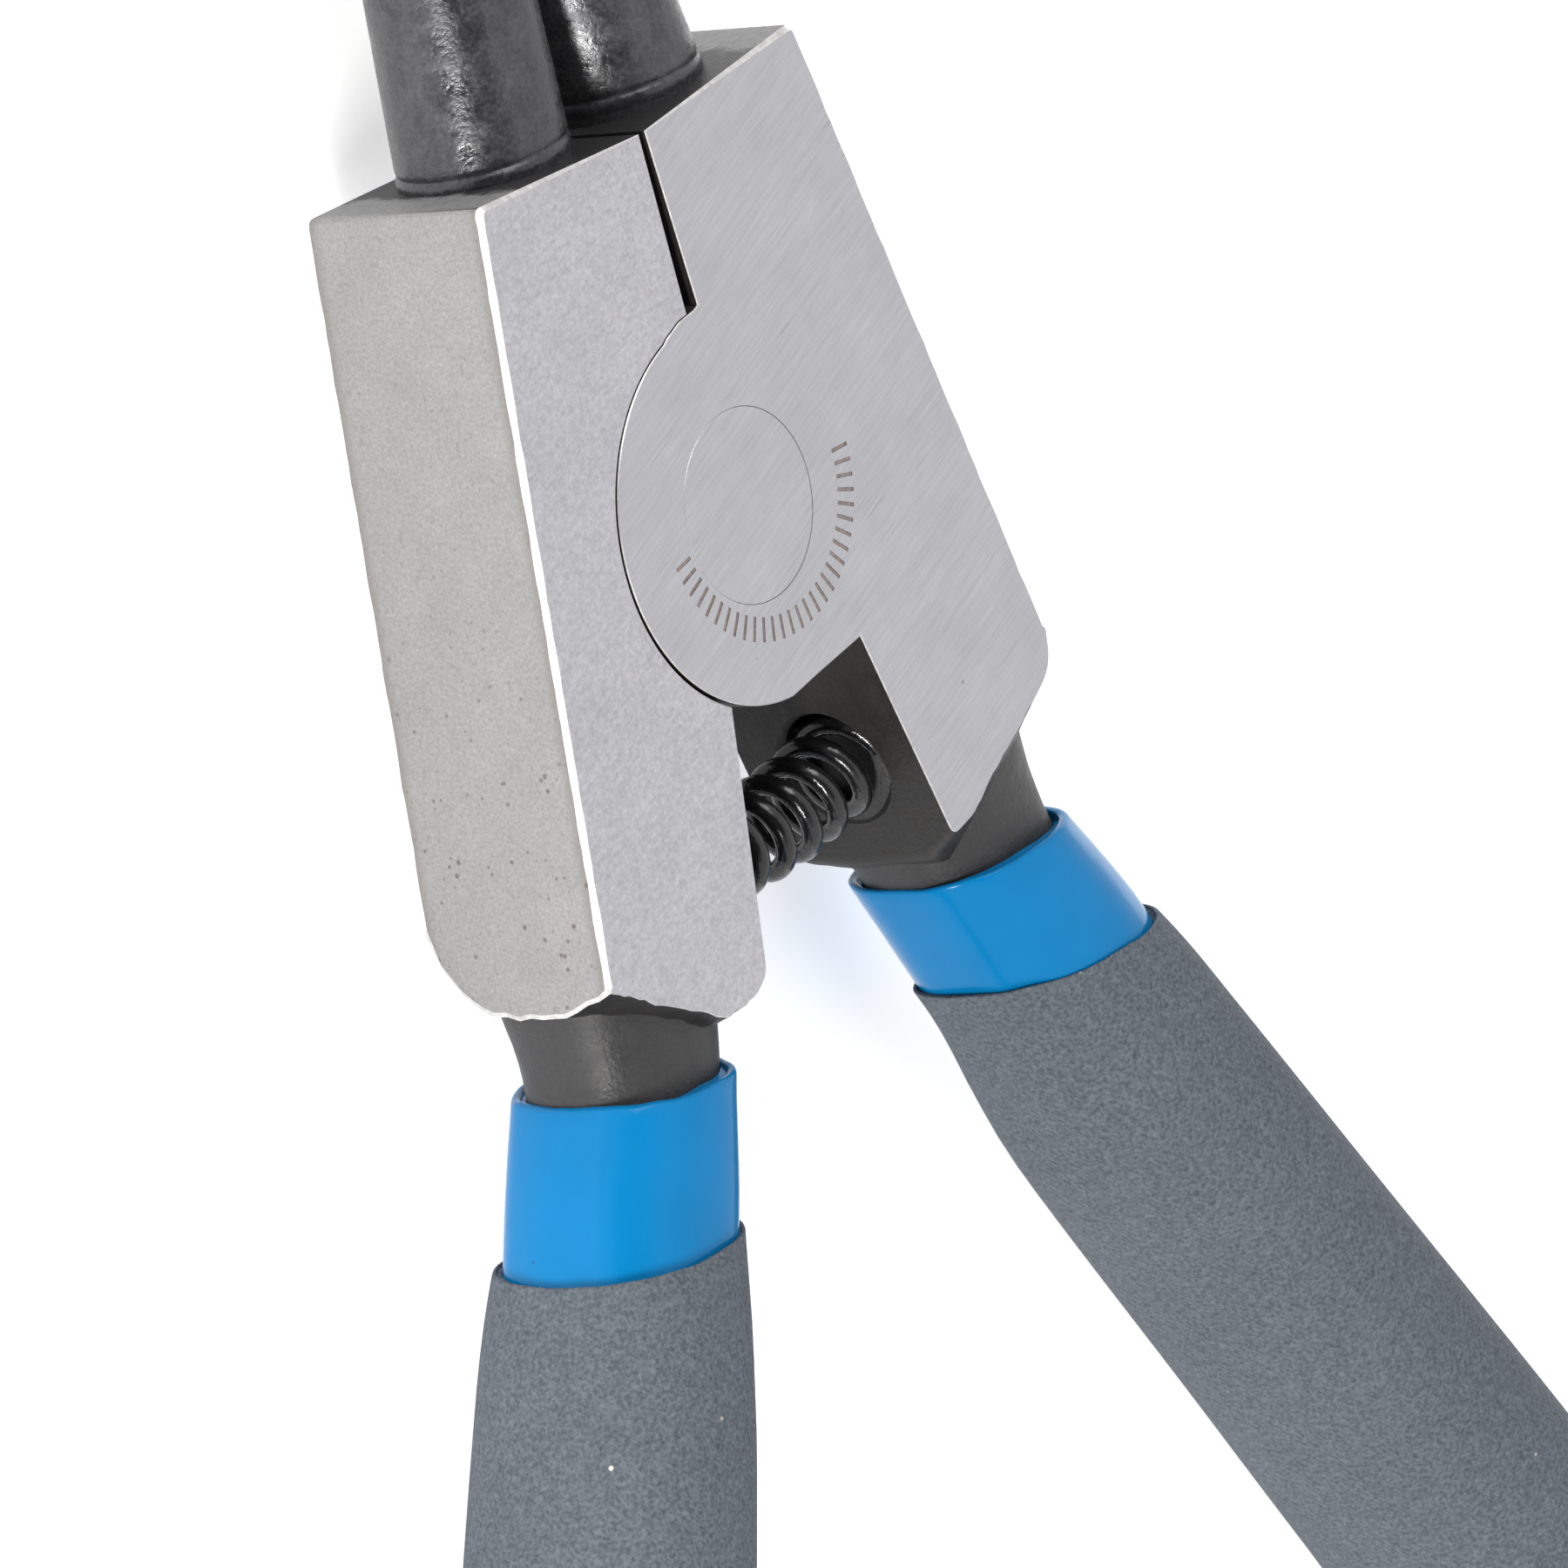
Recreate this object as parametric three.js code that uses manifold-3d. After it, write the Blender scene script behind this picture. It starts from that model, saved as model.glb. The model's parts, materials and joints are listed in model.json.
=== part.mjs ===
// Retaining-ring pliers for shafts: two levers lapped on one rivet, pushed apart by a coil spring,
// so that the tips rest together and squeezing the handles spreads them.
// The pliers lie flat: +Y to the tips, +X to the right-hand lever, +Z out of the front face.
// Every sub-part is drawn about the rivet's axis at mid-thickness, then moved to the row's origin.

import * as THREE from "three";
import { mergeVertices } from "three/addons/utils/BufferGeometryUtils.js";
import Module from "manifold-3d";

const wasm = await Module();
wasm.setup();

// Lap joint and head block, mm
const HEAD_THICK = 10.5;
const HALF_THICK = HEAD_THICK / 2;
const DISC_R = 9.16;
const DISC_CLEARANCE = 0.2;
const LAP_GAP = 0.1;
const HEAD_TOP_Y = 19.06;
const SEAM_TOP_Y = 18.2;
const SEAM_TOP_X = 0.3;
const SEAM_KINK_X = 0.46;
const OUTER_EDGE_X0 = 15.33;
const OUTER_EDGE_SLOPE = -0.172;
const INNER_FACE_X0 = 3.07;
const INNER_FACE_SLOPE = -0.224;
const EDGE_BEVEL = 0.35;
const RIGHT_SIDE_END_Y = -16.2;
const LEFT_SIDE_END_Y = -17.6;

// Rivet, mm
const RIVET_SHANK_R = 3.3;
const RIVET_HEAD_R = 4.55;
const RIVET_HEAD_DEPTH = 1.6;
const RIVET_LAND = 0.45;
const RIVET_CLEARANCE = 0.07;
const RIVET_SUNK = 0.04;

// Round jaws and their pressed-in tips, mm
const JAW_BASE_Y = 18.6;
const JAW_LENGTH = 40.4;
const JAW_OUTER_X = 9.2;
const JAW_END_OUTER_X = 3.8;
const JAW_INNER_X = 0.95;
const JAW_MEETING_X = 0.2;
const JAW_MEETING_LENGTH = 9.5;
const TIP_R = 0.9;
const TIP_LENGTH = 8;
const TIP_DEPTH = 4;
const TIP_CLEARANCE = 0.03;

// Spring and the pockets it sits in, mm
const SPRING_MEAN_R = 2.0;
const SPRING_WIRE_R = 0.5;
const SPRING_PITCH = 2.0;
const SPRING_MID_Y = -16.0;
const SPRING_ARCH = 0.0154;
const POCKET_R = 2.8;
const POCKET_MOUTH_R = 3.15;
const POCKET_DEPTH = 3.0;
const POCKET_FACE_Y = -15.35;

// Handle centreline: straight as far as HANDLE_BEND_AT, then bowing inwards, mm and radians
const HANDLE_X0 = 0.62;
const HANDLE_SPLAY = THREE.MathUtils.degToRad(27.9);
const HANDLE_BEND_AT = 70;
const HANDLE_END = 130;
const HANDLE_END_SPLAY = THREE.MathUtils.degToRad(-4);
const HANDLE_CURVATURE = (HANDLE_SPLAY - HANDLE_END_SPLAY) / (HANDLE_END - HANDLE_BEND_AT);
const HANDLE_POWER = 2.4;
const DIP_TILT = Math.tan(THREE.MathUtils.degToRad(18));
const NEST_GAP = 0.12;

// How far down each handle its inner sleeve and its outer grip begin, mm
const RIGHT_DIPS = { sleeveTop: 25.9, gripTop: 32.2 };
const LEFT_DIPS = { sleeveTop: 25.8, gripTop: 33.6 };

// Handle sections: distance down the handle, half width, half thickness, sideways offset, mm
const STEEL_SECTIONS = [
  [15, 3.6, 3.9, 2.6],
  [20, 5.1, 4.15, 1.7],
  [22.5, 4.95, 4.05, 1.05],
  [25.5, 4.3, 3.95, 0.5],
  [33, 4.1, 4.1, 0.1],
  [47, 3.2, 5.0, 0],
  [70, 3.3, 5.1, 0],
  [84, 3.3, 5.1, 0],
  [98, 3.2, 5.0, 0],
  [112, 3.1, 4.8, 0],
  [122, 2.9, 4.4, 0],
];
const SLEEVE_SECTIONS = [
  [0, 4.92, 4.75, 0.5],
  [33, 5.1, 5.1, 0.15],
  [36, 4.95, 5.2, 0.05],
  [47, 4.15, 6.0, 0],
  [70, 4.3, 6.2, 0],
  [84, 4.3, 6.2, 0],
  [98, 4.2, 6.1, 0],
  [112, 4.1, 5.8, 0],
  [124.5, 3.8, 5.3, 0],
];
const GRIP_SECTIONS = [
  [0, 5.52, 5.55, 0.15],
  [36, 5.55, 6.0, 0.05],
  [41, 5.3, 6.6, 0],
  [47, 5.1, 7.1, 0],
  [58, 5.2, 7.35, 0],
  [70, 5.4, 7.6, 0],
  [84, 5.5, 7.7, 0],
  [98, 5.4, 7.6, 0],
  [112, 5.2, 7.3, 0],
  [124, 4.9, 6.9, 0],
];
const GRIP_END_ROUNDING = 4.5;

const HANDLE_SIDES = 20;
const JAW_SIDES = 28;
const ROUND_SIDES = 64;

const groundSteel = new THREE.MeshStandardMaterial({ color: 0xb9b9bb, roughness: 0.42, metalness: 0.9 });
const rivetSteel = new THREE.MeshStandardMaterial({ color: 0xb2b2b4, roughness: 0.4, metalness: 0.9 });
const tipSteel = new THREE.MeshStandardMaterial({ color: 0x8d8d90, roughness: 0.35, metalness: 0.9 });
const springSteel = new THREE.MeshStandardMaterial({ color: 0x141415, roughness: 0.3, metalness: 0.6 });
const sleeveVinyl = new THREE.MeshStandardMaterial({ color: 0x1c86d6, roughness: 0.25, metalness: 0 });
const gripVinyl = new THREE.MeshStandardMaterial({ color: 0x5b646b, roughness: 0.9, metalness: 0 });

// Builds an indexed geometry and turns its faces outwards if they point inwards.
function solidGeometry(points, faces) {
  let volume = 0;
  for (const [a, b, c] of faces) {
    volume += points[a].dot(new THREE.Vector3().crossVectors(points[b], points[c]));
  }
  const index = faces.flatMap(([a, b, c]) => (volume > 0 ? [a, b, c] : [a, c, b]));
  const geometry = new THREE.BufferGeometry();
  geometry.setAttribute("position", new THREE.Float32BufferAttribute(points.flatMap((p) => p.toArray()), 3));
  geometry.setIndex(index);
  return geometry;
}

function fanFaces(count) {
  const faces = [];
  for (let i = 1; i < count - 1; i += 1) {
    faces.push([0, i, i + 1]);
  }
  return faces;
}

function wallFaces(ringA, ringB, count) {
  const faces = [];
  for (let i = 0; i < count; i += 1) {
    const j = (i + 1) % count;
    faces.push([ringA + i, ringA + j, ringB + j]);
    faces.push([ringA + i, ringB + j, ringB + i]);
  }
  return faces;
}

// A solid skinned through rings of equal length, closed by a flat cap at each end.
function skin(rings, capFaces) {
  const count = rings[0].length;
  const cap = capFaces ?? fanFaces(count);
  const last = (rings.length - 1) * count;
  const faces = cap.map(([a, b, c]) => [a, c, b]);
  for (let k = 0; k < rings.length - 1; k += 1) {
    faces.push(...wallFaces(k * count, (k + 1) * count, count));
  }
  faces.push(...cap.map(([a, b, c]) => [last + a, last + b, last + c]));
  return solidGeometry(rings.flat(), faces);
}

// A cup: open at its first rings, closed past its last ones, with a wall between the two skins.
function cup(outerRings, innerRings) {
  const count = outerRings[0].length;
  const inner = outerRings.length * count;
  const outerLast = inner - count;
  const innerLast = inner + (innerRings.length - 1) * count;
  const faces = [];
  for (let k = 0; k < outerRings.length - 1; k += 1) {
    faces.push(...wallFaces(k * count, (k + 1) * count, count));
  }
  for (let k = 0; k < innerRings.length - 1; k += 1) {
    faces.push(...wallFaces(inner + (k + 1) * count, inner + k * count, count));
  }
  faces.push(...wallFaces(inner, 0, count));
  faces.push(...fanFaces(count).map(([a, b, c]) => [outerLast + a, outerLast + b, outerLast + c]));
  faces.push(...fanFaces(count).map(([a, b, c]) => [innerLast + a, innerLast + c, innerLast + b]));
  return solidGeometry([...outerRings.flat(), ...innerRings.flat()], faces);
}

// Joins a turned geometry's seam, drops the empty faces on its axis and turns it outwards.
function closed(geometry) {
  const bare = geometry.clone();
  bare.deleteAttribute("normal");
  bare.deleteAttribute("uv");
  const merged = mergeVertices(bare, 1e-4);
  const points = [];
  for (let i = 0; i < merged.attributes.position.count; i += 1) {
    points.push(new THREE.Vector3().fromBufferAttribute(merged.attributes.position, i));
  }
  const faces = [];
  for (let i = 0; i < merged.index.count; i += 3) {
    const face = [0, 1, 2].map((k) => merged.index.getX(i + k));
    if (new Set(face).size === 3) {
      faces.push(face);
    }
  }
  return solidGeometry(points, faces);
}

function toManifold(geometry) {
  return new wasm.Manifold(
    new wasm.Mesh({
      numProp: 3,
      vertProperties: new Float32Array(geometry.attributes.position.array),
      triVerts: new Uint32Array(geometry.index.array),
    }),
  );
}

function fromManifold(solid) {
  const mesh = solid.getMesh();
  const geometry = new THREE.BufferGeometry();
  geometry.setAttribute("position", new THREE.Float32BufferAttribute(mesh.vertProperties, 3));
  geometry.setIndex(new THREE.Uint32BufferAttribute(mesh.triVerts, 1));
  return geometry;
}

// A turned solid about the Z axis, from [radius, z] pairs that start and end on the axis.
function turned(profile, sides) {
  const points = profile.map(([r, z]) => new THREE.Vector2(r, z));
  return closed(new THREE.LatheGeometry(points, sides)).rotateX(Math.PI / 2);
}

// The profile of the rivet, or of its hole when a clearance is given.
function rivetProfile(clearance, endZ) {
  const head = RIVET_HEAD_R + clearance;
  const shank = RIVET_SHANK_R + clearance;
  const landZ = HALF_THICK - RIVET_LAND;
  const coneZ = HALF_THICK - RIVET_HEAD_DEPTH;
  return [
    [0, -endZ],
    [head, -endZ],
    [head, -landZ],
    [shank, -coneZ],
    [shank, coneZ],
    [head, landZ],
    [head, endZ],
    [0, endZ],
  ];
}

function outerEdgeX(y) {
  return OUTER_EDGE_X0 + OUTER_EDGE_SLOPE * y;
}

function innerFaceX(y) {
  return INNER_FACE_X0 + INNER_FACE_SLOPE * y;
}

// The right-hand block's outline at one height: the lower end differs from front to back.
function blockOutline(cornerY, lowerEnd, innerEndY, bevel) {
  return [
    [SEAM_TOP_X, SEAM_TOP_Y],
    [outerEdgeX(HEAD_TOP_Y) - bevel, HEAD_TOP_Y],
    [outerEdgeX(cornerY) - bevel, cornerY],
    ...lowerEnd,
    [innerFaceX(innerEndY), innerEndY],
    [innerFaceX(-5.5), -5.5],
    [SEAM_KINK_X, 7.5],
  ].reverse();
}

// The head block: flat front, back and side, bevelled along its outer edges, with its lower end
// drawn in towards the neck and cut back further on the lap disc's side.
function headBlock(sideEndY) {
  const levels = [
    [-HALF_THICK, -16.6, [[15.5, -18.2], [12.2, -20.1], [10.9, -20.7], [8.7, -20.6]], -20.0, EDGE_BEVEL],
    [-HALF_THICK + EDGE_BEVEL, -16.9, [[15.6, -18.5], [12.3, -20.4], [11.0, -21.0], [8.8, -20.9]], -20.2, 0],
    [-1.0, -18.3, [[16.0, -19.5], [12.7, -21.3], [11.1, -21.8], [8.9, -21.6]], -20.8, 0],
    [3.0, sideEndY, [[15.8, sideEndY - 1.3], [12.7, -20.5], [11.1, -21.2], [8.9, -21.2]], -20.5, 0],
    [HALF_THICK - EDGE_BEVEL, -14.2, [[16.5, -15.4], [14.2, -17.0], [10.9, -18.6], [8.1, -19.6]], -19.2, 0],
    [HALF_THICK, -13.5, [[16.4, -14.8], [14.2, -16.4], [10.8, -18.0], [7.9, -19.2]], -18.9, EDGE_BEVEL],
  ];
  const outlines = levels.map(([, cornerY, lowerEnd, innerEndY, bevel]) =>
    blockOutline(cornerY, lowerEnd, innerEndY, bevel),
  );
  const rings = outlines.map((outline, k) => outline.map(([x, y]) => new THREE.Vector3(x, y, levels[k][0])));
  const flat = outlines[0].map(([x, y]) => new THREE.Vector2(x, y));
  return skin(rings, THREE.ShapeUtils.triangulateShape(flat, []));
}

// A round jaw: its outer side runs in straight, its inner side closes up to the other jaw's.
function jaw() {
  const shoulder = [
    [-1, 0],
    [0.25, -0.16],
    [0.3, 0.02],
    [0.68, 0.02],
    [0.73, -0.16],
    [0.95, -0.16],
    [1.1, 0],
  ];
  const tapering = [3, 6, JAW_MEETING_LENGTH, 16, 28, JAW_LENGTH - 0.5].map((y) => [y, 0]);
  const stations = [...shoulder, ...tapering, [JAW_LENGTH, -0.35]];
  const rings = stations.map(([y, swell]) => {
    const along = Math.max(y, 0);
    const outer = THREE.MathUtils.lerp(JAW_OUTER_X, JAW_END_OUTER_X, along / JAW_LENGTH);
    const inner = THREE.MathUtils.lerp(JAW_INNER_X, JAW_MEETING_X, Math.min(along / JAW_MEETING_LENGTH, 1));
    const centre = (outer + inner) / 2;
    const radius = (outer - inner) / 2 + swell;
    return Array.from({ length: JAW_SIDES }, (_, i) => {
      const a = (i / JAW_SIDES) * 2 * Math.PI;
      return new THREE.Vector3(centre + radius * Math.cos(a), JAW_BASE_Y + y, radius * Math.sin(a));
    });
  });
  return skin(rings);
}

const TIP_X = (JAW_END_OUTER_X + JAW_MEETING_X) / 2;

// A tip pin, or the hole it is pressed into when a clearance is given.
function tipPin(clearance) {
  const bottom = JAW_BASE_Y + JAW_LENGTH - TIP_DEPTH - clearance;
  const top = JAW_BASE_Y + JAW_LENGTH - TIP_DEPTH + TIP_LENGTH;
  const radius = TIP_R + clearance;
  const profile = [
    [0, bottom],
    [radius, bottom],
    [radius, top - 0.3],
    [radius - 0.25, top],
    [0, top],
  ];
  const points = profile.map(([r, y]) => new THREE.Vector2(r, y));
  return closed(new THREE.LatheGeometry(points, 24)).translate(TIP_X, 0, 0);
}

// The handle's centreline and its sideways direction at a distance down the handle.
function handleAt(distance) {
  const straight = Math.min(distance, HANDLE_BEND_AT);
  const bent = Math.max(distance - HANDLE_BEND_AT, 0);
  const splay = HANDLE_SPLAY - HANDLE_CURVATURE * bent;
  const x = HANDLE_X0 + straight * Math.sin(HANDLE_SPLAY);
  const y = -straight * Math.cos(HANDLE_SPLAY);
  const across = (Math.cos(splay) - Math.cos(HANDLE_SPLAY)) / HANDLE_CURVATURE;
  const down = (Math.sin(HANDLE_SPLAY) - Math.sin(splay)) / HANDLE_CURVATURE;
  return {
    centre: new THREE.Vector3(x + across, y - down, 0),
    side: new THREE.Vector3(Math.cos(splay), Math.sin(splay), 0),
    down: new THREE.Vector3(Math.sin(splay), -Math.cos(splay), 0),
  };
}

// One rounded section of the handle; a tilt makes its outward side lie further down.
function handleRing(distance, halfWidth, halfThick, offset, tilt = 0) {
  const { centre, side, down } = handleAt(distance);
  return Array.from({ length: HANDLE_SIDES }, (_, i) => {
    const a = ((i + 0.5) / HANDLE_SIDES) * 2 * Math.PI;
    const c = Math.cos(a);
    const s = Math.sin(a);
    const n = offset + halfWidth * Math.sign(c) * Math.abs(c) ** (2 / HANDLE_POWER);
    const z = halfThick * Math.sign(s) * Math.abs(s) ** (2 / HANDLE_POWER);
    return centre
      .clone()
      .addScaledVector(side, n)
      .addScaledVector(down, n * tilt)
      .add(new THREE.Vector3(0, 0, z));
  });
}

// Reads half width, half thickness and offset out of a table of sections at any distance.
function sectionAt(table, distance) {
  let k = 0;
  while (k < table.length - 2 && table[k + 1][0] < distance) {
    k += 1;
  }
  const low = table[k];
  const high = table[k + 1];
  const t = THREE.MathUtils.clamp((distance - low[0]) / (high[0] - low[0]), 0, 1);
  return [1, 2, 3].map((i) => THREE.MathUtils.lerp(low[i], high[i], t));
}

function steelHandle() {
  return skin(STEEL_SECTIONS.map(([at, width, thick, offset]) => handleRing(at, width, thick, offset)));
}

// The dip's own lip: slightly rounded, and level with the bath rather than square to the handle.
function dipRings(table, top, rounding, grow) {
  const [width, thick, offset] = sectionAt(table, top);
  const lip = handleRing(top, width - rounding + grow, thick - rounding + grow, offset, DIP_TILT);
  const rings = [lip];
  if (rounding > 0) {
    rings.push(handleRing(top + rounding, width + grow, thick + grow, offset, DIP_TILT));
  }
  const first = top + rounding + 1.2;
  for (const [at, w, t, o] of table.filter(([at]) => at > first)) {
    rings.push(handleRing(at, w + grow, t + grow, o));
  }
  return rings;
}

function innerSleeve(dips) {
  const [width, thick, offset] = sectionAt(STEEL_SECTIONS, dips.sleeveTop);
  const inner = [handleRing(dips.sleeveTop, width + NEST_GAP, thick + NEST_GAP, offset, DIP_TILT)];
  for (const [at, w, t, o] of STEEL_SECTIONS.filter(([at]) => at > dips.sleeveTop + 1.2)) {
    inner.push(handleRing(at, w + NEST_GAP, t + NEST_GAP, o));
  }
  const end = STEEL_SECTIONS[STEEL_SECTIONS.length - 1];
  inner.push(handleRing(end[0] + NEST_GAP, end[1] + NEST_GAP, end[2] + NEST_GAP, end[3]));
  return cup(dipRings(SLEEVE_SECTIONS, dips.sleeveTop, 0.25, 0), inner);
}

function outerGrip(dips) {
  const outer = dipRings(GRIP_SECTIONS, dips.gripTop, 0.2, 0);
  const [last, width, thick] = GRIP_SECTIONS[GRIP_SECTIONS.length - 1];
  for (const share of [0.5, 0.8, 0.95, 1]) {
    const shrink = Math.sqrt(1 - share * share) * 0.7 + 0.3;
    const at = last + share * GRIP_END_ROUNDING;
    outer.push(handleRing(at, width * shrink, thick * shrink, 0));
  }
  const inner = dipRings(SLEEVE_SECTIONS, dips.gripTop, 0, NEST_GAP);
  const end = SLEEVE_SECTIONS[SLEEVE_SECTIONS.length - 1];
  inner.push(handleRing(end[0] + NEST_GAP, end[1] + NEST_GAP, end[2] + NEST_GAP, end[3]));
  return cup(outer, inner);
}

// The blind pocket for one end of the spring, drilled square to the lever's inner face.
function springPocket() {
  const profile = [
    [0, -2.5],
    [POCKET_MOUTH_R, -2.5],
    [POCKET_MOUTH_R, 0],
    [POCKET_R, POCKET_MOUTH_R - POCKET_R],
    [POCKET_R, POCKET_DEPTH],
    [0, POCKET_DEPTH],
  ];
  const points = profile.map(([r, y]) => new THREE.Vector2(r, y));
  const lean = Math.atan(-INNER_FACE_SLOPE);
  return closed(new THREE.LatheGeometry(points, 32))
    .rotateZ(lean - Math.PI / 2)
    .translate(innerFaceX(POCKET_FACE_Y), POCKET_FACE_Y, 0);
}

// The right-hand lever, with the front lap disc; turned half round it is also the left-hand one.
function lever(sideEndY) {
  const disc = turned(
    [
      [0, LAP_GAP / 2],
      [DISC_R, LAP_GAP / 2],
      [DISC_R, HALF_THICK],
      [0, HALF_THICK],
    ],
    ROUND_SIDES,
  );
  const otherDisc = turned(
    [
      [0, -HALF_THICK - 1],
      [DISC_R + DISC_CLEARANCE, -HALF_THICK - 1],
      [DISC_R + DISC_CLEARANCE, LAP_GAP / 2],
      [0, LAP_GAP / 2],
    ],
    ROUND_SIDES,
  );
  const hole = turned(rivetProfile(RIVET_CLEARANCE, HALF_THICK + 1), ROUND_SIDES);
  return fromManifold(
    toManifold(headBlock(sideEndY))
      .subtract(toManifold(otherDisc))
      .add(toManifold(disc))
      .add(toManifold(jaw()))
      .add(toManifold(steelHandle()))
      .subtract(toManifold(hole))
      .subtract(toManifold(springPocket()))
      .subtract(toManifold(tipPin(TIP_CLEARANCE))),
  );
}

function pivotRivet() {
  return turned(rivetProfile(0, HALF_THICK - RIVET_SUNK), ROUND_SIDES);
}

// The coil spring, arched a little so that each end runs square into its pocket.
function returnSpring() {
  const reach = innerFaceX(POCKET_FACE_Y) + POCKET_DEPTH - 0.75;
  const turns = (2 * reach) / SPRING_PITCH;
  const steps = Math.round(turns * 14);
  const centre = (x) => new THREE.Vector3(x, SPRING_MID_Y + SPRING_ARCH * x * x, 0);
  const coilAt = (t) => {
    const x = THREE.MathUtils.lerp(-reach, reach, t);
    const rise = new THREE.Vector3(-2 * SPRING_ARCH * x, 1, 0).normalize();
    const a = t * turns * 2 * Math.PI;
    const radial = rise.multiplyScalar(Math.cos(a)).add(new THREE.Vector3(0, 0, Math.sin(a)));
    return { point: centre(x).addScaledVector(radial, SPRING_MEAN_R), radial };
  };
  const rings = [];
  for (let k = 0; k <= steps; k += 1) {
    const { point, radial } = coilAt(k / steps);
    const tangent = coilAt(k / steps + 1e-4).point.sub(coilAt(k / steps - 1e-4).point).normalize();
    const across = new THREE.Vector3().crossVectors(tangent, radial).normalize();
    rings.push(
      Array.from({ length: 6 }, (_, i) => {
        const b = (i / 6) * 2 * Math.PI;
        return point
          .clone()
          .addScaledVector(radial, SPRING_WIRE_R * Math.cos(b))
          .addScaledVector(across, SPRING_WIRE_R * Math.sin(b));
      }),
    );
  }
  return skin(rings);
}

function named(name, geometry, material) {
  geometry.computeVertexNormals();
  const mesh = new THREE.Mesh(geometry, material);
  mesh.name = name;
  return mesh;
}

function rightHalf() {
  const half = new THREE.Group();
  half.add(
    named("right_lever", lever(RIGHT_SIDE_END_Y), groundSteel),
    named("right_tip_pin", tipPin(0), tipSteel),
    named("right_inner_sleeve", innerSleeve(RIGHT_DIPS), sleeveVinyl),
    named("right_outer_grip", outerGrip(RIGHT_DIPS), gripVinyl),
  );
  return half;
}

// The left half is built as the right one and turned half round the tool's long axis.
function leftHalf() {
  const half = new THREE.Group();
  half.add(
    named("left_lever", lever(LEFT_SIDE_END_Y), groundSteel),
    named("left_tip_pin", tipPin(0), tipSteel),
    named("left_inner_sleeve", innerSleeve(LEFT_DIPS), sleeveVinyl),
    named("left_outer_grip", outerGrip(LEFT_DIPS), gripVinyl),
  );
  half.rotation.y = Math.PI;
  return half;
}

function pliers() {
  const drawn = new THREE.Group();
  drawn.add(
    leftHalf(),
    rightHalf(),
    named("pivot_rivet", pivotRivet(), rivetSteel),
    named("return_spring", returnSpring(), springSteel),
  );
  const box = new THREE.Box3().setFromObject(drawn, true);
  drawn.position.set(0, -(box.min.y + box.max.y) / 2, -box.min.z);
  const row = new THREE.Group();
  row.name = "retaining_ring_pliers";
  row.add(drawn);
  return row;
}

export default pliers();
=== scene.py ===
"""Finishes and fine shapes for a pair of retaining-ring pliers lying on a pale floor.

Shapes are drawn in mm about the rivet's axis at mid-thickness, for the right-hand half. The left-hand
half is the same shape turned half round the tool's long axis.
"""

import json
import math

import bpy
import numpy as np
from mathutils import Matrix, Vector


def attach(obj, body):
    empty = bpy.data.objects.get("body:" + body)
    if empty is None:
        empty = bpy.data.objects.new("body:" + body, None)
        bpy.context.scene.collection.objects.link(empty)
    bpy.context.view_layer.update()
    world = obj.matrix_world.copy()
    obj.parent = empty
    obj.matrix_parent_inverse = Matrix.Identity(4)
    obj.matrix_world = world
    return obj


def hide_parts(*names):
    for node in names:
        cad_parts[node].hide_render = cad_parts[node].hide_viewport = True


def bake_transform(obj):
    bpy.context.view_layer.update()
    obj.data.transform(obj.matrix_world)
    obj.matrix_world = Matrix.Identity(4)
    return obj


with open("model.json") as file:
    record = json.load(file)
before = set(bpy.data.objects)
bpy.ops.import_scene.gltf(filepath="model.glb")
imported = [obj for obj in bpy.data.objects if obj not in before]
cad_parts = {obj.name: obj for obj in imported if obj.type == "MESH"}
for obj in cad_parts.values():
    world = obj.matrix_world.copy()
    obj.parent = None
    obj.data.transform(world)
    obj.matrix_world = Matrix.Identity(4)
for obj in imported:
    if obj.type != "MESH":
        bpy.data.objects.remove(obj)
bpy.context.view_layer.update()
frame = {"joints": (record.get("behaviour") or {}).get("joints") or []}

MM = 0.001
RIVET_AXIS = np.array(frame["joints"][0]["pos_m"])
BODY = {"left": "left_half", "right": "right_half"}

# Head block and lap joint, mm; the two straight edges as x beside the rivet and its change per mm up
HALF_THICK = 5.25
OUTER_EDGE = (15.33, -0.172)
INNER_FACE = (3.07, -0.224)
HEAD_TOP_Y = 19.06
SEAM_TOP = (0.22, 18.2)
SEAM_KINK = (0.50, 7.5)
DISC_R = 9.16
LAP_GAP = 0.1
RECESS_R = 9.27
RECESS_SHIFT = (-0.042, -0.056)
OUTER_CHAMFER = 0.24
FINE_CHAMFER = 0.05

# Where the outer side's ground face ends, as pairs of z and y
SIDE_END = {
    "left": [
        [-5.25, -5.0, -2.35, 0.3, 2.3, 3.7, 4.9, 5.25],
        [-16.6, -16.85, -17.6, -17.65, -17.3, -16.3, -14.7, -13.6],
    ],
    "right": [
        [-5.25, -5.0, -1.0, 3.0, 4.3, 4.9, 5.25],
        [-16.6, -16.9, -18.0, -16.2, -14.9, -13.4, -12.9],
    ],
}

# Lower end of the block at six heights: z, four points x y, inner end y
LOWER_END = [
    [-5.25, 15.5, -18.2, 12.2, -20.1, 10.9, -20.7, 8.7, -20.6, -20.0],
    [-4.9, 15.6, -18.4, 12.3, -20.3, 11.0, -20.9, 8.8, -20.8, -20.2],
    [-1.0, 16.0, -18.9, 12.7, -20.9, 11.1, -21.4, 8.9, -21.3, -20.7],
    [3.0, 15.9, -17.6, 12.9, -19.8, 11.1, -20.7, 8.9, -21.0, -20.5],
    [4.9, 16.9, -14.9, 14.6, -16.3, 11.9, -17.6, 9.35, -19.0, -19.5],
    [5.25, 16.85, -14.7, 14.6, -16.05, 11.85, -17.35, 9.3, -18.75, -19.25],
]

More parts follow.
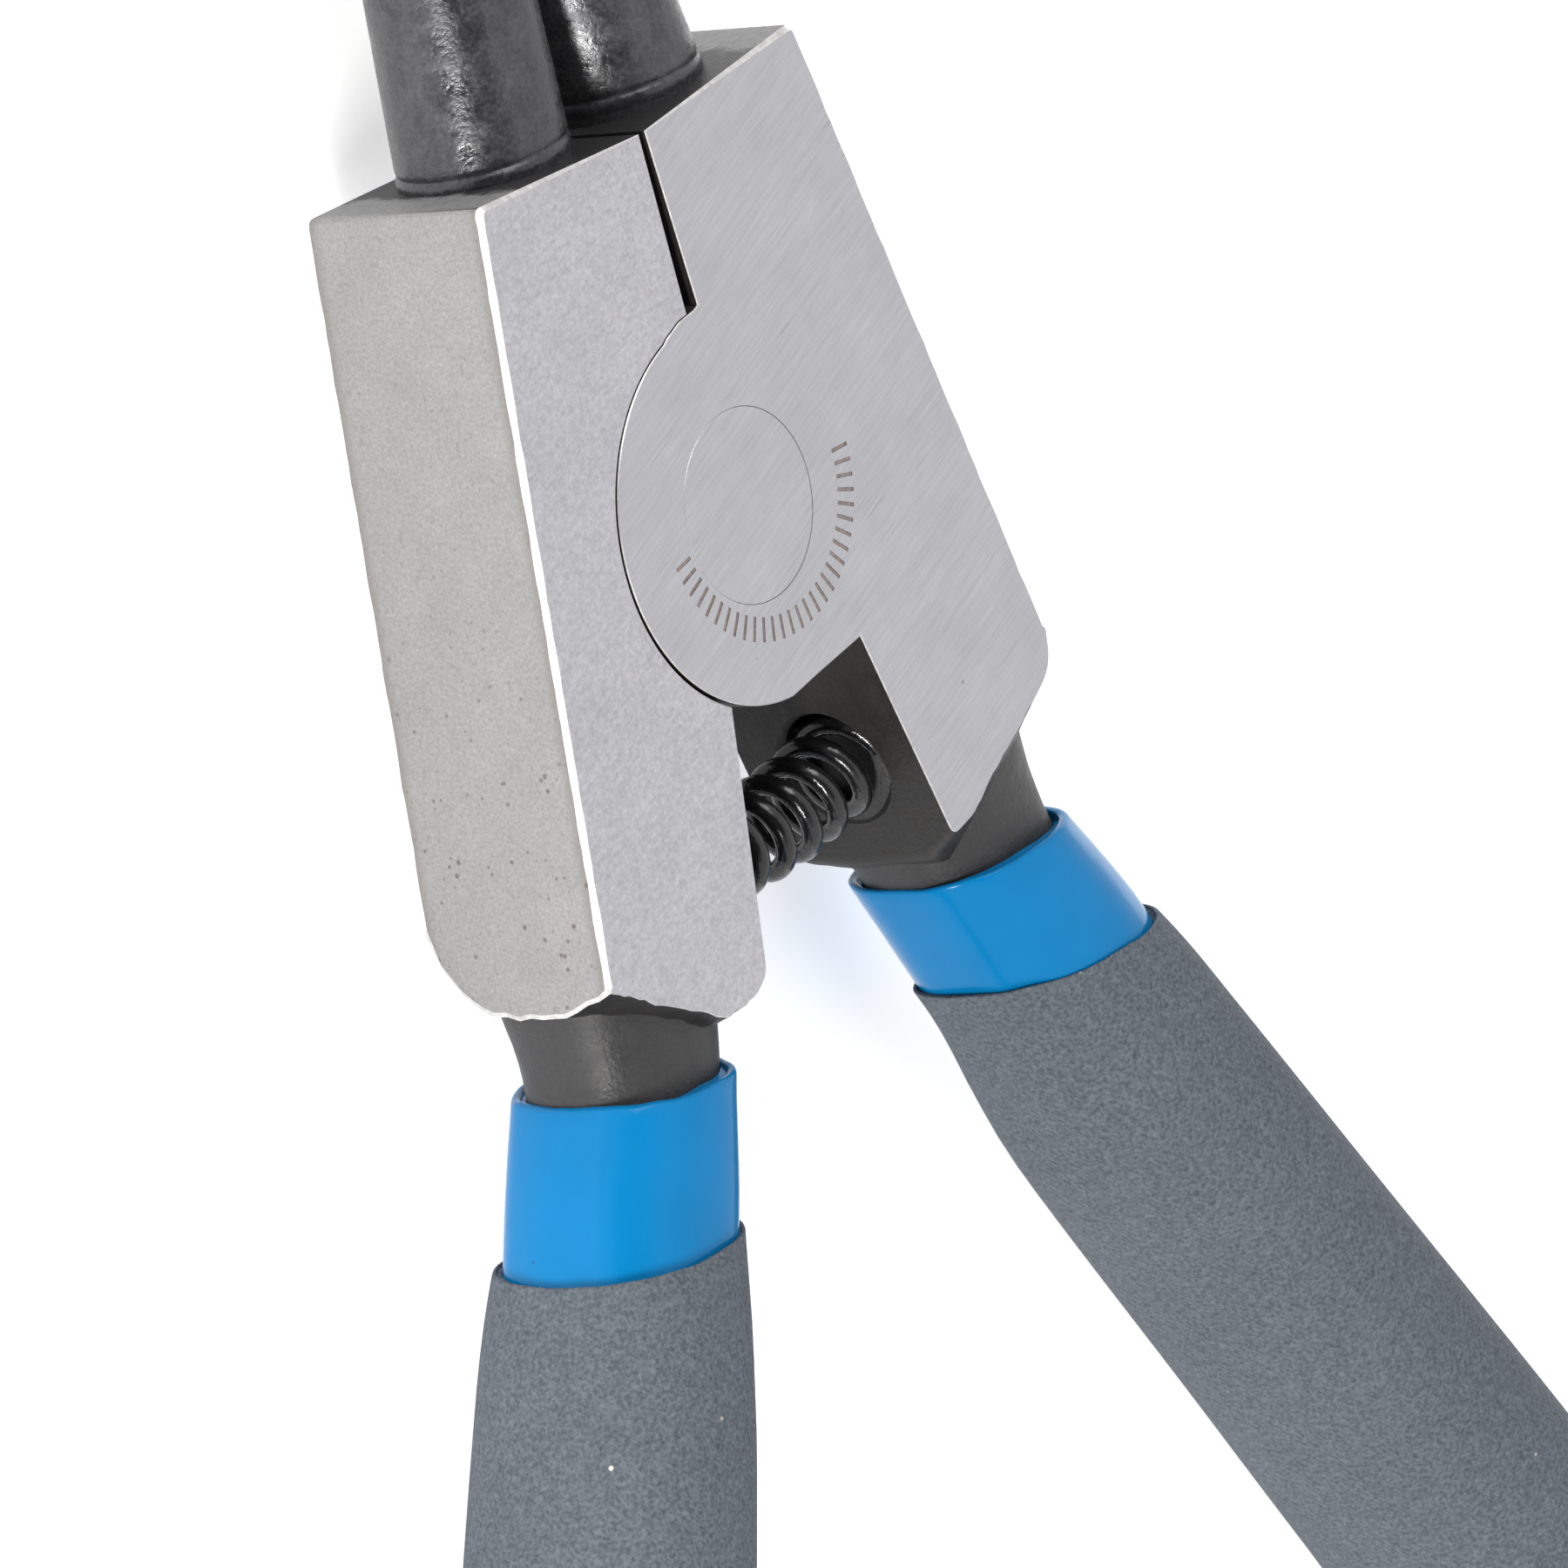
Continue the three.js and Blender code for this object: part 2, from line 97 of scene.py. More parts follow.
# Straight shoulders that run from the lap disc to the block, at the seam and at the notch
SEAM_SHOULDER = [(0.9, 9.3), (0.42, 9.62), (0.05, 9.5), (-1.1, 9.38), (-2.2, 9.0)]
NOTCH_SHOULDER = [(-0.31, -9.1), (1.3, -8.86), (3.1, -8.63), (4.9, -8.4), (5.6, -7.6)]

# How much the ground edges wander, and the seeds of their waves
LOWER_RIPPLE = {"left": 0.09, "right": 0.05}
LOWER_SEED = {"left": 8, "right": 9}
CORNER_SEED = {"left": 3, "right": 4}

# Rivet, mm
RIVET_HEAD_R = 4.55
RIVET_SHANK_R = 3.3
RIVET_LAND = 0.45
RIVET_HEAD_DEPTH = 1.6
RIVET_CLEARANCE = 0.006

# Arc of plain tick marks round the rivet: degrees, then mm
MARK_COUNT = 29
MARK_START = 190
MARK_STEP = 6
MARK_CENTRE = np.array([0.81, 0.31])
MARK_INNER_R = 5.7
MARK_OUTER_R = 6.85
MARK_DEPTH = 0.03
TICK_HALF_WIDTH = 0.095

# Jaws and tips, mm
JAW_BASE_Y = 18.6
JAW_LENGTH = 40.4
JAW_OUTER_X = (9.2, 3.8)
JAW_INNER_X = (0.95, 0.2)
JAW_INNER_RUN = 9.5
TIP_X = 2.0
TIP_R = 0.9

# Spring and the pockets it sits in, mm; the pocket is drilled square to the inner face
SPRING_MEAN_R = 1.95
SPRING_WIRE_R = 0.5
SPRING_PITCH = 2.0
SPRING_REACH = 8.758
SPRING_MID_Y = -16.0
SPRING_ARCH = 0.0154
POCKET_FACE = (6.508, -15.35)
POCKET_PROFILE = [(3.6, -2.5), (3.6, -0.35), (3.12, 0.0), (2.8, 0.4), (2.8, 3.0)]

# Handle centreline, mm and radians, and the section's squareness
HANDLE_X0 = 0.62
HANDLE_SPLAY = math.radians(27.9)
HANDLE_BEND_AT = 70
HANDLE_CURVATURE = (HANDLE_SPLAY + math.radians(4)) / 60
HANDLE_POWER = 2.4

# Hand-dipped lips, sleeve then grip: distance down the handle in mm, and slope sideways and to the front
DIP_TOPS = {"right": (24.95, 32.25), "left": (25.9, 33.7)}
DIP_TILTS = {"right": (0.48, 0.55), "left": (0.37, 0.43)}
FRONT_TILT = {"right": 0.05, "left": -0.4}
LIP_WAVE = 0.06
NEST_GAP = 0.03
SLEEVE_END = 124.5
GRIP_END = 124.0

# Handle sections: distance down the handle, half width, half thickness, sideways offset, mm
STEEL_SECTIONS = [
    [15, 3.9, 4.6, 3.1], [18, 4.75, 4.75, 2.55], [20, 5.2, 4.7, 2.35], [21.5, 5.2, 4.45, 1.9],
    [23, 5.0, 4.2, 1.3], [24.5, 4.75, 4.02, 0.75], [26, 4.5, 3.97, 0.38],
    [33, 4.1, 4.1, 0.1], [47, 3.2, 5.0, 0], [70, 3.3, 5.1, 0], [84, 3.3, 5.1, 0],
    [98, 3.2, 5.0, 0], [112, 3.1, 4.8, 0], [122, 2.9, 4.4, 0],
]
SLEEVE_SECTIONS = [
    [20, 4.85, 4.7, 0.5], [26, 5.0, 5.02, 0.28], [33, 5.1, 5.1, 0.15], [36, 4.95, 5.2, 0.05],
    [47, 4.15, 6.0, 0], [70, 4.3, 6.2, 0], [84, 4.3, 6.2, 0], [98, 4.2, 6.1, 0],
    [112, 4.1, 5.8, 0], [124.5, 3.8, 5.3, 0],
]
GRIP_SECTIONS = [
    [30, 5.25, 5.2, 0.2], [32, 5.27, 5.27, 0.2], [34.5, 5.47, 5.6, 0.26], [37, 5.52, 6.0, 0.2],
    [41, 5.35, 6.55, 0.05], [47, 5.1, 7.1, 0],
    [58, 5.2, 7.35, 0], [70, 5.4, 7.6, 0], [84, 5.5, 7.7, 0], [98, 5.4, 7.6, 0],
    [112, 5.2, 7.3, 0], [124, 4.9, 6.9, 0],
]
SECTIONS = {"steel": STEEL_SECTIONS, "sleeve": SLEEVE_SECTIONS, "grip": GRIP_SECTIONS}

# Small differences between the two hand-dipped halves: distances, extra half width, extra offset, mm
NUDGES = {
    "right": {
        "steel": ([20, 25, 45, 60, 90], [0.0, 0.0, 0.0, 0.0, 0.0], [0.0, 0.45, 0.3, 0.15, 0.0]),
        "sleeve": (
            [22, 27, 33, 45, 60, 90],
            [-0.40, -0.38, 0.0, 0.0, 0.0, 0.0],
            [0.45, 0.45, 0.45, 0.3, 0.15, 0.0],
        ),
        "grip": (
            [28, 34, 41, 45, 60, 90],
            [-0.15, -0.1, 0.3, 0.35, 0.25, 0.0],
            [0.35, 0.3, 0.12, 0.1, 0.1, 0.0],
        ),
    },
    "left": {
        "steel": (
            [18, 23, 24, 25, 26, 27.5, 30],
            [0.0, 0.45, 0.42, 0.3, 0.22, 0.15, 0.0],
            [0.0, 0.5, 0.45, 0.33, 0.22, 0.15, 0.0],
        ),
        "sleeve": ([24, 27, 31, 36], [-0.42, -0.38, -0.1, 0.0], [0.12, 0.1, 0.0, 0.0]),
        "grip": ([30, 35, 40, 90], [-0.15, -0.12, 0.0, 0.0], [-0.2, -0.2, 0.0, 0.0]),
    },
}


# ---------------------------------------------------------------- finishes


def plug(tree, socket, value):
    """Sets an input, or links it where the value is another node's output."""
    if isinstance(value, bpy.types.NodeSocket):
        tree.links.new(value, socket)
    else:
        socket.default_value = value


def node_in(tree, kind, *in_order, **values):
    """Adds a node; a value goes to the next input, to the input named after in_, or to a property."""
    node = tree.nodes.new(kind)
    for key, value in values.items():
        if not key.startswith("in_"):
            setattr(node, key, value)
    for socket, value in zip(node.inputs, in_order):
        plug(tree, socket, value)
    for key, value in values.items():
        if key.startswith("in_"):
            plug(tree, node.inputs[key[3:].replace("_", " ")], value)
    return node


def effect(name, inputs, outputs):
    """A shader node group with named values in and out."""
    group = bpy.data.node_groups.new(name, "ShaderNodeTree")
    for label, default in inputs.items():
        socket = group.interface.new_socket(name=label, in_out="INPUT", socket_type="NodeSocketFloat")
        socket.default_value = default
    for label in outputs:
        group.interface.new_socket(name=label, in_out="OUTPUT", socket_type="NodeSocketFloat")
    return group, group.nodes.new("NodeGroupInput").outputs, group.nodes.new("NodeGroupOutput").inputs


def math_in(tree, operation, *values, clamp=False):
    return node_in(tree, "ShaderNodeMath", *values, operation=operation, use_clamp=clamp).outputs[0]


def vector_in(tree, operation, *vectors):
    return node_in(tree, "ShaderNodeVectorMath", *vectors, operation=operation).outputs["Vector"]


def ramp_between(tree, value, low, high):
    """0 below low, 1 above high."""
    ramp = node_in(
        tree, "ShaderNodeMapRange", clamp=True, interpolation_type="SMOOTHSTEP",
        in_Value=value, in_From_Min=low, in_From_Max=high,
    )
    return ramp.outputs["Result"]


def metres(tree):
    return node_in(tree, "ShaderNodeTexCoord").outputs["Object"]


def place_in(tree):
    """The X, Y and Z of a place on the tool, in metres."""
    return node_in(tree, "ShaderNodeSeparateXYZ", metres(tree)).outputs


def per_mm(tree, size):
    """How many of a size in mm fit in a metre."""
    return math_in(tree, "DIVIDE", 1000.0, size)


def brushed_lines():
    """Fine straight grinding lines at an angle to the tool's width, in degrees; sizes in mm."""
    tree, given, result = effect(
        "Grinding lines",
        {"Angle": 10.0, "Line length": 6.0, "Line width": 0.1, "Shift": 0.0},
        ["Lines", "Scratches"],
    )
    angle = math_in(tree, "RADIANS", math_in(tree, "MULTIPLY", given["Angle"], -1.0))
    turn = node_in(
        tree, "ShaderNodeVectorRotate", rotation_type="Z_AXIS", in_Vector=metres(tree), in_Angle=angle
    )
    along = per_mm(tree, given["Line length"])
    for label, width_share, detail in (("Lines", 1.0, 3.0), ("Scratches", 2.2, 1.0)):
        across = math_in(tree, "DIVIDE", 1000.0 / width_share, given["Line width"])
        stretch = node_in(tree, "ShaderNodeCombineXYZ", along, across, across)
        scaled = vector_in(tree, "MULTIPLY", turn.outputs["Vector"], stretch.outputs["Vector"])
        moved = vector_in(tree, "ADD", scaled, given["Shift"])
        streaks = node_in(
            tree, "ShaderNodeTexNoise", in_Vector=moved, in_Scale=1.0, in_Detail=detail, in_Roughness=0.6
        ).outputs["Fac"]
        plug(tree, result[label], streaks if label == "Lines" else ramp_between(tree, streaks, 0.66, 0.74))
    return tree


def mottle():
    """Cloudy variation of a given size in mm, about a middle value of a half."""
    tree, given, result = effect(
        "Mottle", {"Size": 1.0, "Detail": 3.0, "Contrast": 1.0, "Shift": 0.0}, ["Value"]
    )
    cloud = node_in(
        tree, "ShaderNodeTexNoise", in_Vector=vector_in(tree, "ADD", metres(tree), given["Shift"]),
        in_Scale=per_mm(tree, given["Size"]), in_Detail=given["Detail"], in_Roughness=0.55,
    )
    centred = math_in(tree, "SUBTRACT", cloud.outputs["Fac"], 0.5)
    spread = math_in(tree, "MULTIPLY", centred, given["Contrast"])
    plug(tree, result["Value"], math_in(tree, "ADD", spread, 0.5, clamp=True))
    return tree


def spots():
    """Scattered small round spots: spacing and radius in mm, share of places that hold one."""
    tree, given, result = effect(
        "Spots", {"Spacing": 1.0, "Radius": 0.1, "Share": 0.3, "Shift": 0.0}, ["Spots"]
    )
    cells = node_in(
        tree, "ShaderNodeTexVoronoi", feature="F1", in_Randomness=1.0,
        in_Vector=vector_in(tree, "ADD", metres(tree), given["Shift"]),
        in_Scale=per_mm(tree, given["Spacing"]),
    )
    lot = node_in(tree, "ShaderNodeSeparateColor", cells.outputs["Color"]).outputs
    held = math_in(tree, "LESS_THAN", lot["Red"], given["Share"])
    size = math_in(tree, "DIVIDE", given["Radius"], given["Spacing"])
    own_size = math_in(tree, "MULTIPLY", size, math_in(tree, "ADD", lot["Green"], 0.35))
    gone = math_in(tree, "DIVIDE", cells.outputs["Distance"], own_size)
    soft = ramp_between(tree, math_in(tree, "SUBTRACT", 1.0, gone, clamp=True), 0.0, 0.6)
    plug(tree, result["Spots"], math_in(tree, "MULTIPLY", soft, held))
    return tree


def edge_wear_and_highlight():
    """A mask of rounded-off edges, broken up along their length, for edge wear and painted highlight; radius
    in mm.
    """
    tree, given, result = effect("Edge wear and highlight", {"Radius": 0.15, "Evenness": 0.5}, ["Edge"])
    radius = math_in(tree, "MULTIPLY", given["Radius"], MM)
    eased = node_in(tree, "ShaderNodeBevel", samples=4, in_Radius=radius)
    plain = node_in(tree, "ShaderNodeNewGeometry")
    alike = node_in(
        tree, "ShaderNodeVectorMath", eased.outputs["Normal"], plain.outputs["Normal"],
        operation="DOT_PRODUCT",
    )
    turned_away = math_in(tree, "SUBTRACT", 1.0, alike.outputs["Value"])
    edge = ramp_between(tree, turned_away, 0.01, 0.12)
    cloud = node_in(tree, "ShaderNodeTexNoise", in_Vector=metres(tree), in_Scale=1400.0, in_Detail=2.0)
    broken = ramp_between(tree, cloud.outputs["Fac"], 0.35, 0.65)
    kept = math_in(tree, "MAXIMUM", broken, given["Evenness"])
    plug(tree, result["Edge"], math_in(tree, "MULTIPLY", edge, kept))
    return tree


GRINDING = brushed_lines()
MOTTLE = mottle()
SPOTS = spots()
EDGES = edge_wear_and_highlight()


class Finish:
    """One material, built up from a base colour by tints."""

    def __init__(self, name, colour, roughness, metallic=0.0, specular=0.5):
        self.material = bpy.data.materials.new(name)
        self.material.use_nodes = True
        self.tree = self.material.node_tree
        self.shader = self.tree.nodes["Principled BSDF"]
        self.shader.inputs["Metallic"].default_value = metallic
        self.shader.inputs["Specular IOR Level"].default_value = specular
        paint = node_in(self.tree, "ShaderNodeRGB")
        paint.outputs[0].default_value = (*colour, 1.0)
        self.colour = paint.outputs[0]
        self.roughness = roughness
        self.height = None

    def uses(self, group, output, **values):
        named = {f"in_{label}": value for label, value in values.items()}
        return node_in(self.tree, "ShaderNodeGroup", node_tree=group, **named).outputs[output]

    def cloud(self, size, detail=3.0, contrast=1.8, shift=0.0):
        return self.uses(MOTTLE, "Value", Size=size, Detail=detail, Contrast=contrast, Shift=shift)

    def dots(self, spacing, radius, share, shift=0.0):
        return self.uses(SPOTS, "Spots", Spacing=spacing, Radius=radius, Share=share, Shift=shift)

    def lines(self, angle, length, width, shift=0.0, kind="Lines"):
        return self.uses(GRINDING, kind, Angle=angle, Line_length=length, Line_width=width, Shift=shift)

    def edges(self, radius, evenness):
        return self.uses(EDGES, "Edge", Radius=radius, Evenness=evenness)

    def blend(self, mask, share, colour):
        """Mixes a colour in where the mask is high."""
        mix = node_in(
            self.tree, "ShaderNodeMix", data_type="RGBA", blend_type="MIX",
            in_Factor=math_in(self.tree, "MULTIPLY", mask, share), in_A=self.colour, in_B=(*colour, 1.0),
        )
        self.colour = mix.outputs["Result"]

    def swing(self, value, amount):
        """A value about a half, made into one about zero."""
        return math_in(self.tree, "MULTIPLY", math_in(self.tree, "SUBTRACT", value, 0.5), amount)

    def shade(self, value, amount):
        """Lightens and darkens with a value about a half."""
        factor = math_in(self.tree, "ADD", self.swing(value, amount), 1.0)
        scale = node_in(self.tree, "ShaderNodeVectorMath", self.colour, operation="SCALE", in_Scale=factor)
        self.colour = scale.outputs["Vector"]

    def roughen(self, value, amount):
        self.roughness = math_in(self.tree, "ADD", self.swing(value, amount), self.roughness, clamp=True)

    def raise_by(self, value, height_mm):
        """Adds to the surface's height."""
        rise = math_in(self.tree, "MULTIPLY", value, height_mm)
        self.height = rise if self.height is None else math_in(self.tree, "ADD", self.height, rise)

    def done(self):
        plug(self.tree, self.shader.inputs["Base Color"], self.colour)
        plug(self.tree, self.shader.inputs["Roughness"], self.roughness)
        if self.height is not None:
            bump = node_in(
                self.tree, "ShaderNodeBump", in_Distance=MM, in_Strength=1.0, in_Height=self.height
            )
            plug(self.tree, self.shader.inputs["Normal"], bump.outputs["Normal"])
        return self.material


def ground_lapped_face():
    """The face with the lap disc: long grinding lines."""
    steel = Finish("ground_steel_lapped_face", (0.435, 0.435, 0.455), 0.42, metallic=1.0)
    lines = steel.lines(20.0, 5.0, 0.15)
    steel.shade(lines, 0.38)
    steel.shade(steel.lines(21.0, 1.8, 0.09, shift=3.0), 0.30)
    steel.blend(steel.lines(19.0, 3.5, 0.09, shift=7.0, kind="Scratches"), 0.35, (0.30, 0.30, 0.32))
    steel.shade(steel.cloud(3.0, contrast=1.6), 0.10)
    pits = steel.dots(2.6, 0.17, 0.22)
    steel.blend(pits, 0.55, (0.16, 0.15, 0.15))
    steel.roughen(lines, 0.22)
    steel.raise_by(lines, 0.012)
    steel.raise_by(pits, -0.03)
    return steel.done()


def ground_plain_face():
    """The other ground face: short, fine grinding marks."""
    steel = Finish("ground_steel_plain_face", (0.455, 0.45, 0.475), 0.46, metallic=1.0)
    fleck = steel.cloud(0.22)
    steel.shade(fleck, 0.42)
    steel.shade(steel.lines(14.0, 1.1, 0.12), 0.35)
    steel.shade(steel.cloud(4.0, contrast=1.6, shift=2.0), 0.10)
    steel.roughen(fleck, 0.2)
    steel.raise_by(fleck, 0.010)
    return steel.done()


def ground_side_face():
    """The narrow outer side: blasted look with lengthwise pits, and a darker brown band along its rims that
    is painted shade.
    """
    steel = Finish("ground_steel_side_face", (0.301, 0.298, 0.293), 0.52, metallic=1.0)
    tree = steel.tree
    fleck = steel.cloud(0.16, contrast=1.7)
    steel.shade(fleck, 0.42)
    steel.shade(steel.cloud(2.6, contrast=1.6, shift=4.0), 0.12)
    place = place_in(tree)
    down = math_in(tree, "SUBTRACT", float(RIVET_AXIS[1]), place["Y"])
    lower_half = ramp_between(tree, down, -0.012, 0.012)
    specks = math_in(tree, "MULTIPLY", steel.dots(0.62, 0.14, 0.5), lower_half)
    steel.blend(specks, 0.75, (0.12, 0.095, 0.08))
    steel.blend(steel.lines(98.0, 0.6, 0.16, shift=5.0, kind="Scratches"), 0.22, (0.16, 0.13, 0.115))
    dots = steel.dots(1.9, 0.12, 0.3, shift=1.0)
    steel.blend(dots, 0.6, (0.15, 0.11, 0.10))
    # Painted shade: a darker brown band along the face's two rims, next to the chamfers.
    off_middle = math_in(tree, "ABSOLUTE", math_in(tree, "SUBTRACT", place["Z"], float(RIVET_AXIS[2])))
    uneven = math_in(tree, "ADD", off_middle, math_in(tree, "MULTIPLY", fleck, 0.0003))
    steel.blend(ramp_between(tree, uneven, 0.0045, 0.0052), 0.42, (0.17, 0.15, 0.135))
    steel.raise_by(fleck, 0.018)
    steel.raise_by(dots, -0.03)
    return steel.done()


def painted_highlight_chamfer():
    """The chamfer along the outer edge, with its highlight painted in as a near-white colour."""
    # Painted highlight: a near-white, mostly non-metal colour stands in for the light the chamfer reflects.
    steel = Finish("painted_highlight_chamfer", (0.90, 0.89, 0.865), 0.36, metallic=0.15)
    steel.shade(steel.cloud(0.35, detail=2.0, contrast=1.6), 0.22)
    steel.blend(steel.dots(1.3, 0.35, 0.3, shift=2.0), 0.5, (0.55, 0.47, 0.40))
    return steel.done()


def eased_rim_painted_highlight():
    """Fine chamfers round the other ground edges, in a lighter steel than the faces, a painted highlight."""
    steel = Finish("eased_ground_edge_painted_highlight", (0.55, 0.54, 0.53), 0.4, metallic=0.9)
    steel.shade(steel.cloud(0.4, detail=2.0), 0.5)
    return steel.done()


def black_forging(name="black_forging", colour=(0.027, 0.0258, 0.0265), specular=0.4):
    """Scale-black forged steel of the neck, and a darker copy of it that is painted shade for the inner
    faces.
    """
    steel = Finish(name, colour, 0.5, specular=specular)
    cloud = steel.cloud(1.6, detail=4.0, contrast=1.7)
    steel.shade(cloud, 0.45)
    fleck = steel.cloud(0.25, shift=3.0)
    steel.shade(fleck, 0.35)
    steel.blend(steel.dots(1.5, 0.16, 0.12), 0.4, (0.13, 0.12, 0.12))
    # Lighter edges: partly wear, partly a painted highlight.
    steel.blend(steel.edges(0.14, 0.1), 0.35, (0.16, 0.15, 0.14))
    steel.roughen(cloud, 0.25)
    steel.raise_by(fleck, 0.02)
    steel.raise_by(cloud, 0.05)
    return steel.done()


def top_face():
    """The forged top: black about the jaw, ground grey towards the outer corner."""
    steel = Finish("forged_top_face", (0.022, 0.021, 0.022), 0.5, specular=0.4)
    tree = steel.tree
    off_axis = math_in(tree, "SUBTRACT", place_in(tree)["X"], float(RIVET_AXIS[0]))
    uneven = steel.swing(steel.cloud(1.2, detail=4.0, contrast=1.6), 0.0022)
    outwards = math_in(tree, "ADD", math_in(tree, "ABSOLUTE", off_axis), uneven)
    steel.blend(ramp_between(tree, outwards, 0.0086, 0.0098), 0.92, (0.180, 0.178, 0.180))
    fleck = steel.cloud(0.3)
    steel.shade(fleck, 0.5)
    steel.raise_by(fleck, 0.02)
    return steel.done()


def blackened_jaw():
    """Oiled black oxide with a broken sheen."""
    steel = Finish("blackened_jaw", (0.056, 0.056, 0.060), 0.31, metallic=0.5)
    cloud = steel.cloud(1.1, detail=4.0, contrast=1.9)
    steel.shade(cloud, 0.7)
    fleck = steel.cloud(0.22, contrast=2.0, shift=6.0)
    steel.shade(fleck, 0.6)
    steel.shade(steel.lines(95.0, 2.4, 0.3), 0.5)
    steel.roughen(cloud, 0.35)
    steel.roughen(fleck, 0.25)
    steel.raise_by(fleck, 0.012)
    steel.raise_by(cloud, 0.04)
    return steel.done()


def tip_steel():
    """Bare drawn wire of the tip pins."""
    steel = Finish("tip_pin_steel", (0.28, 0.28, 0.29), 0.34, metallic=1.0)
    lines = steel.lines(0.0, 1.2, 0.08)
    steel.shade(lines, 0.4)
    steel.shade(steel.cloud(0.5, contrast=1.5), 0.25)
    # Lighter edges: partly wear, partly a painted highlight.
    steel.blend(steel.edges(0.12, 0.3), 0.5, (0.6, 0.6, 0.6))
    steel.raise_by(lines, 0.006)
    return steel.done()


def oiled_spring():
    """Glossy black oiled spring wire."""
    wire = Finish("oiled_black_wire", (0.010, 0.010, 0.011), 0.16)
    cloud = wire.cloud(0.5)
    wire.shade(cloud, 0.6)
    wire.roughen(cloud, 0.25)
    wire.raise_by(cloud, 0.02)
    return wire.done()


def blue_dip():
    """Glossy blue vinyl skin with faint streaks, dimples and dust."""
    vinyl = Finish("blue_dip", (0.002, 0.152, 0.368), 0.15, specular=0.12)
    vinyl.shade(vinyl.cloud(4.0, detail=2.0, contrast=1.4), 0.14)
    vinyl.blend(vinyl.dots(2.2, 0.14, 0.2), 0.45, (0.25, 0.55, 0.8))
    vinyl.blend(vinyl.dots(3.1, 0.13, 0.2, shift=5.0), 0.6, (0.02, 0.03, 0.06))
    vinyl.raise_by(vinyl.cloud(1.8, detail=2.0, contrast=1.2, shift=8.0), 0.03)
    return vinyl.done()


def grey_dip():
    """Matt grey textured vinyl with a fine sandy grain and a little dust."""
    vinyl = Finish("grey_dip", (0.084, 0.098, 0.115), 0.82, specular=0.3)
    grain = vinyl.cloud(0.20, detail=2.0, contrast=2.4)
    vinyl.shade(grain, 0.75)
    coarse = vinyl.cloud(0.55, detail=2.0, shift=3.0)
    vinyl.shade(coarse, 0.25)
    vinyl.shade(vinyl.cloud(7.0, contrast=1.5, shift=9.0), 0.12)
    patches = ramp_between(vinyl.tree, vinyl.cloud(9.0, detail=1.0, contrast=2.0, shift=1.3), 0.45, 0.7)
    dust = math_in(vinyl.tree, "MULTIPLY", vinyl.dots(1.7, 0.17, 0.07), patches)
    vinyl.blend(dust, 0.9, (0.62, 0.58, 0.50))
    vinyl.raise_by(grain, 0.05)
    vinyl.raise_by(coarse, 0.05)
    return vinyl.done()


def stamped_mark():
    """The floor of the tick marks: dull brownish grey."""
    steel = Finish("stamped_mark", (0.26, 0.225, 0.215), 0.55, metallic=0.9)
    steel.shade(steel.cloud(0.3, detail=2.0), 0.6)
    return steel.done()


def lap_painted_shade():
    """A dark colour for the steel inside the lap joint and the holes, painted shade."""
    steel = Finish("lap_joint_steel", (0.045, 0.04, 0.038), 0.55, metallic=0.5)
    steel.shade(steel.cloud(0.6, contrast=1.6), 0.4)
    return steel.done()


FINISH = {
    "lapped": ground_lapped_face(),
    "plain": ground_plain_face(),
    "side": ground_side_face(),
    "chamfer": painted_highlight_chamfer(),
    "eased": eased_rim_painted_highlight(),
    "forging": black_forging(),
    "top": top_face(),
    "lap": lap_painted_shade(),
    "mark": stamped_mark(),
    # Painted shade: a darker, less shiny copy of the forging for the inner, lower and seam walls.
    "inner": black_forging("sooty_inner_face", (0.017, 0.0155, 0.0145), 0.3),
}
HEAD_FINISHES = list(FINISH)
JAW_BLACK = blackened_jaw()
TIP_STEEL = tip_steel()
SPRING_BLACK = oiled_spring()
SLEEVE_BLUE = blue_dip()
GRIP_GREY = grey_dip()


# ---------------------------------------------------------------- mesh making


def in_row(points, side="right"):
    """Points of a half, in mm about the rivet, as metres in the row frame."""
    turned_round = np.array([-1, 1, -1]) if side == "left" else np.array([1, 1, 1])
    return np.asarray(points, float) * turned_round * MM + RIVET_AXIS


def outward(points, faces):
    """The faces, turned to face out of the solid."""
    p = np.asarray(points, float)
    volume = 0.0
    for face in faces:
        a = p[face[0]]
        for i in range(1, len(face) - 1):
            volume += a @ np.cross(p[face[i]], p[face[i + 1]])
    return [list(f) for f in faces] if volume > 0 else [list(f)[::-1] for f in faces]


def new_object(name, points, faces, finishes, picks=None):
    mesh = bpy.data.meshes.new(name)
    mesh.from_pydata([tuple(p) for p in points], [], outward(points, faces))
    for finish in finishes:
        mesh.materials.append(finish)
    if picks is not None:
        mesh.polygons.foreach_set("material_index", picks)
    mesh.validate()
    mesh.update()
    piece = bpy.data.objects.new(name, mesh)
    bpy.context.scene.collection.objects.link(piece)
    return piece


def soften(piece, angle=32):
    """Smooth shading that keeps the edges sharper than an angle."""
    piece.data.shade_smooth()
    piece.data.set_sharp_from_angle(angle=math.radians(angle))
    return piece


def belongs(piece, body, node):
    """Puts a piece on the body it rides on, and hides the plain part it stands for."""
    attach(piece, body)
    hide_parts(node)


def wall(first, second, count):
    """Faces between two rings, by the numbers of their first points."""
    return [[first + i, first + (i + 1) % count, second + (i + 1) % count, second + i] for i in range(count)]


def loft(rings):
    """Points and faces of a closed solid skinned through rings of equal length."""
    count = len(rings[0])
    faces = []
    for k in range(len(rings) - 1):
        faces += wall(k * count, (k + 1) * count, count)
    faces.append(list(range(count))[::-1])
    faces.append([(len(rings) - 1) * count + i for i in range(count)])
    return np.concatenate(rings), faces


def around(sides):
    """Evenly spaced angles round a circle."""
    return np.arange(sides) / sides * 2 * math.pi


def turned(profile, sides):
    """Rings of a solid turned about Z, from pairs of radius and height."""
    angles = around(sides)
    return [np.stack([r * np.cos(angles), r * np.sin(angles), np.full(sides, z)], 1) for r, z in profile]


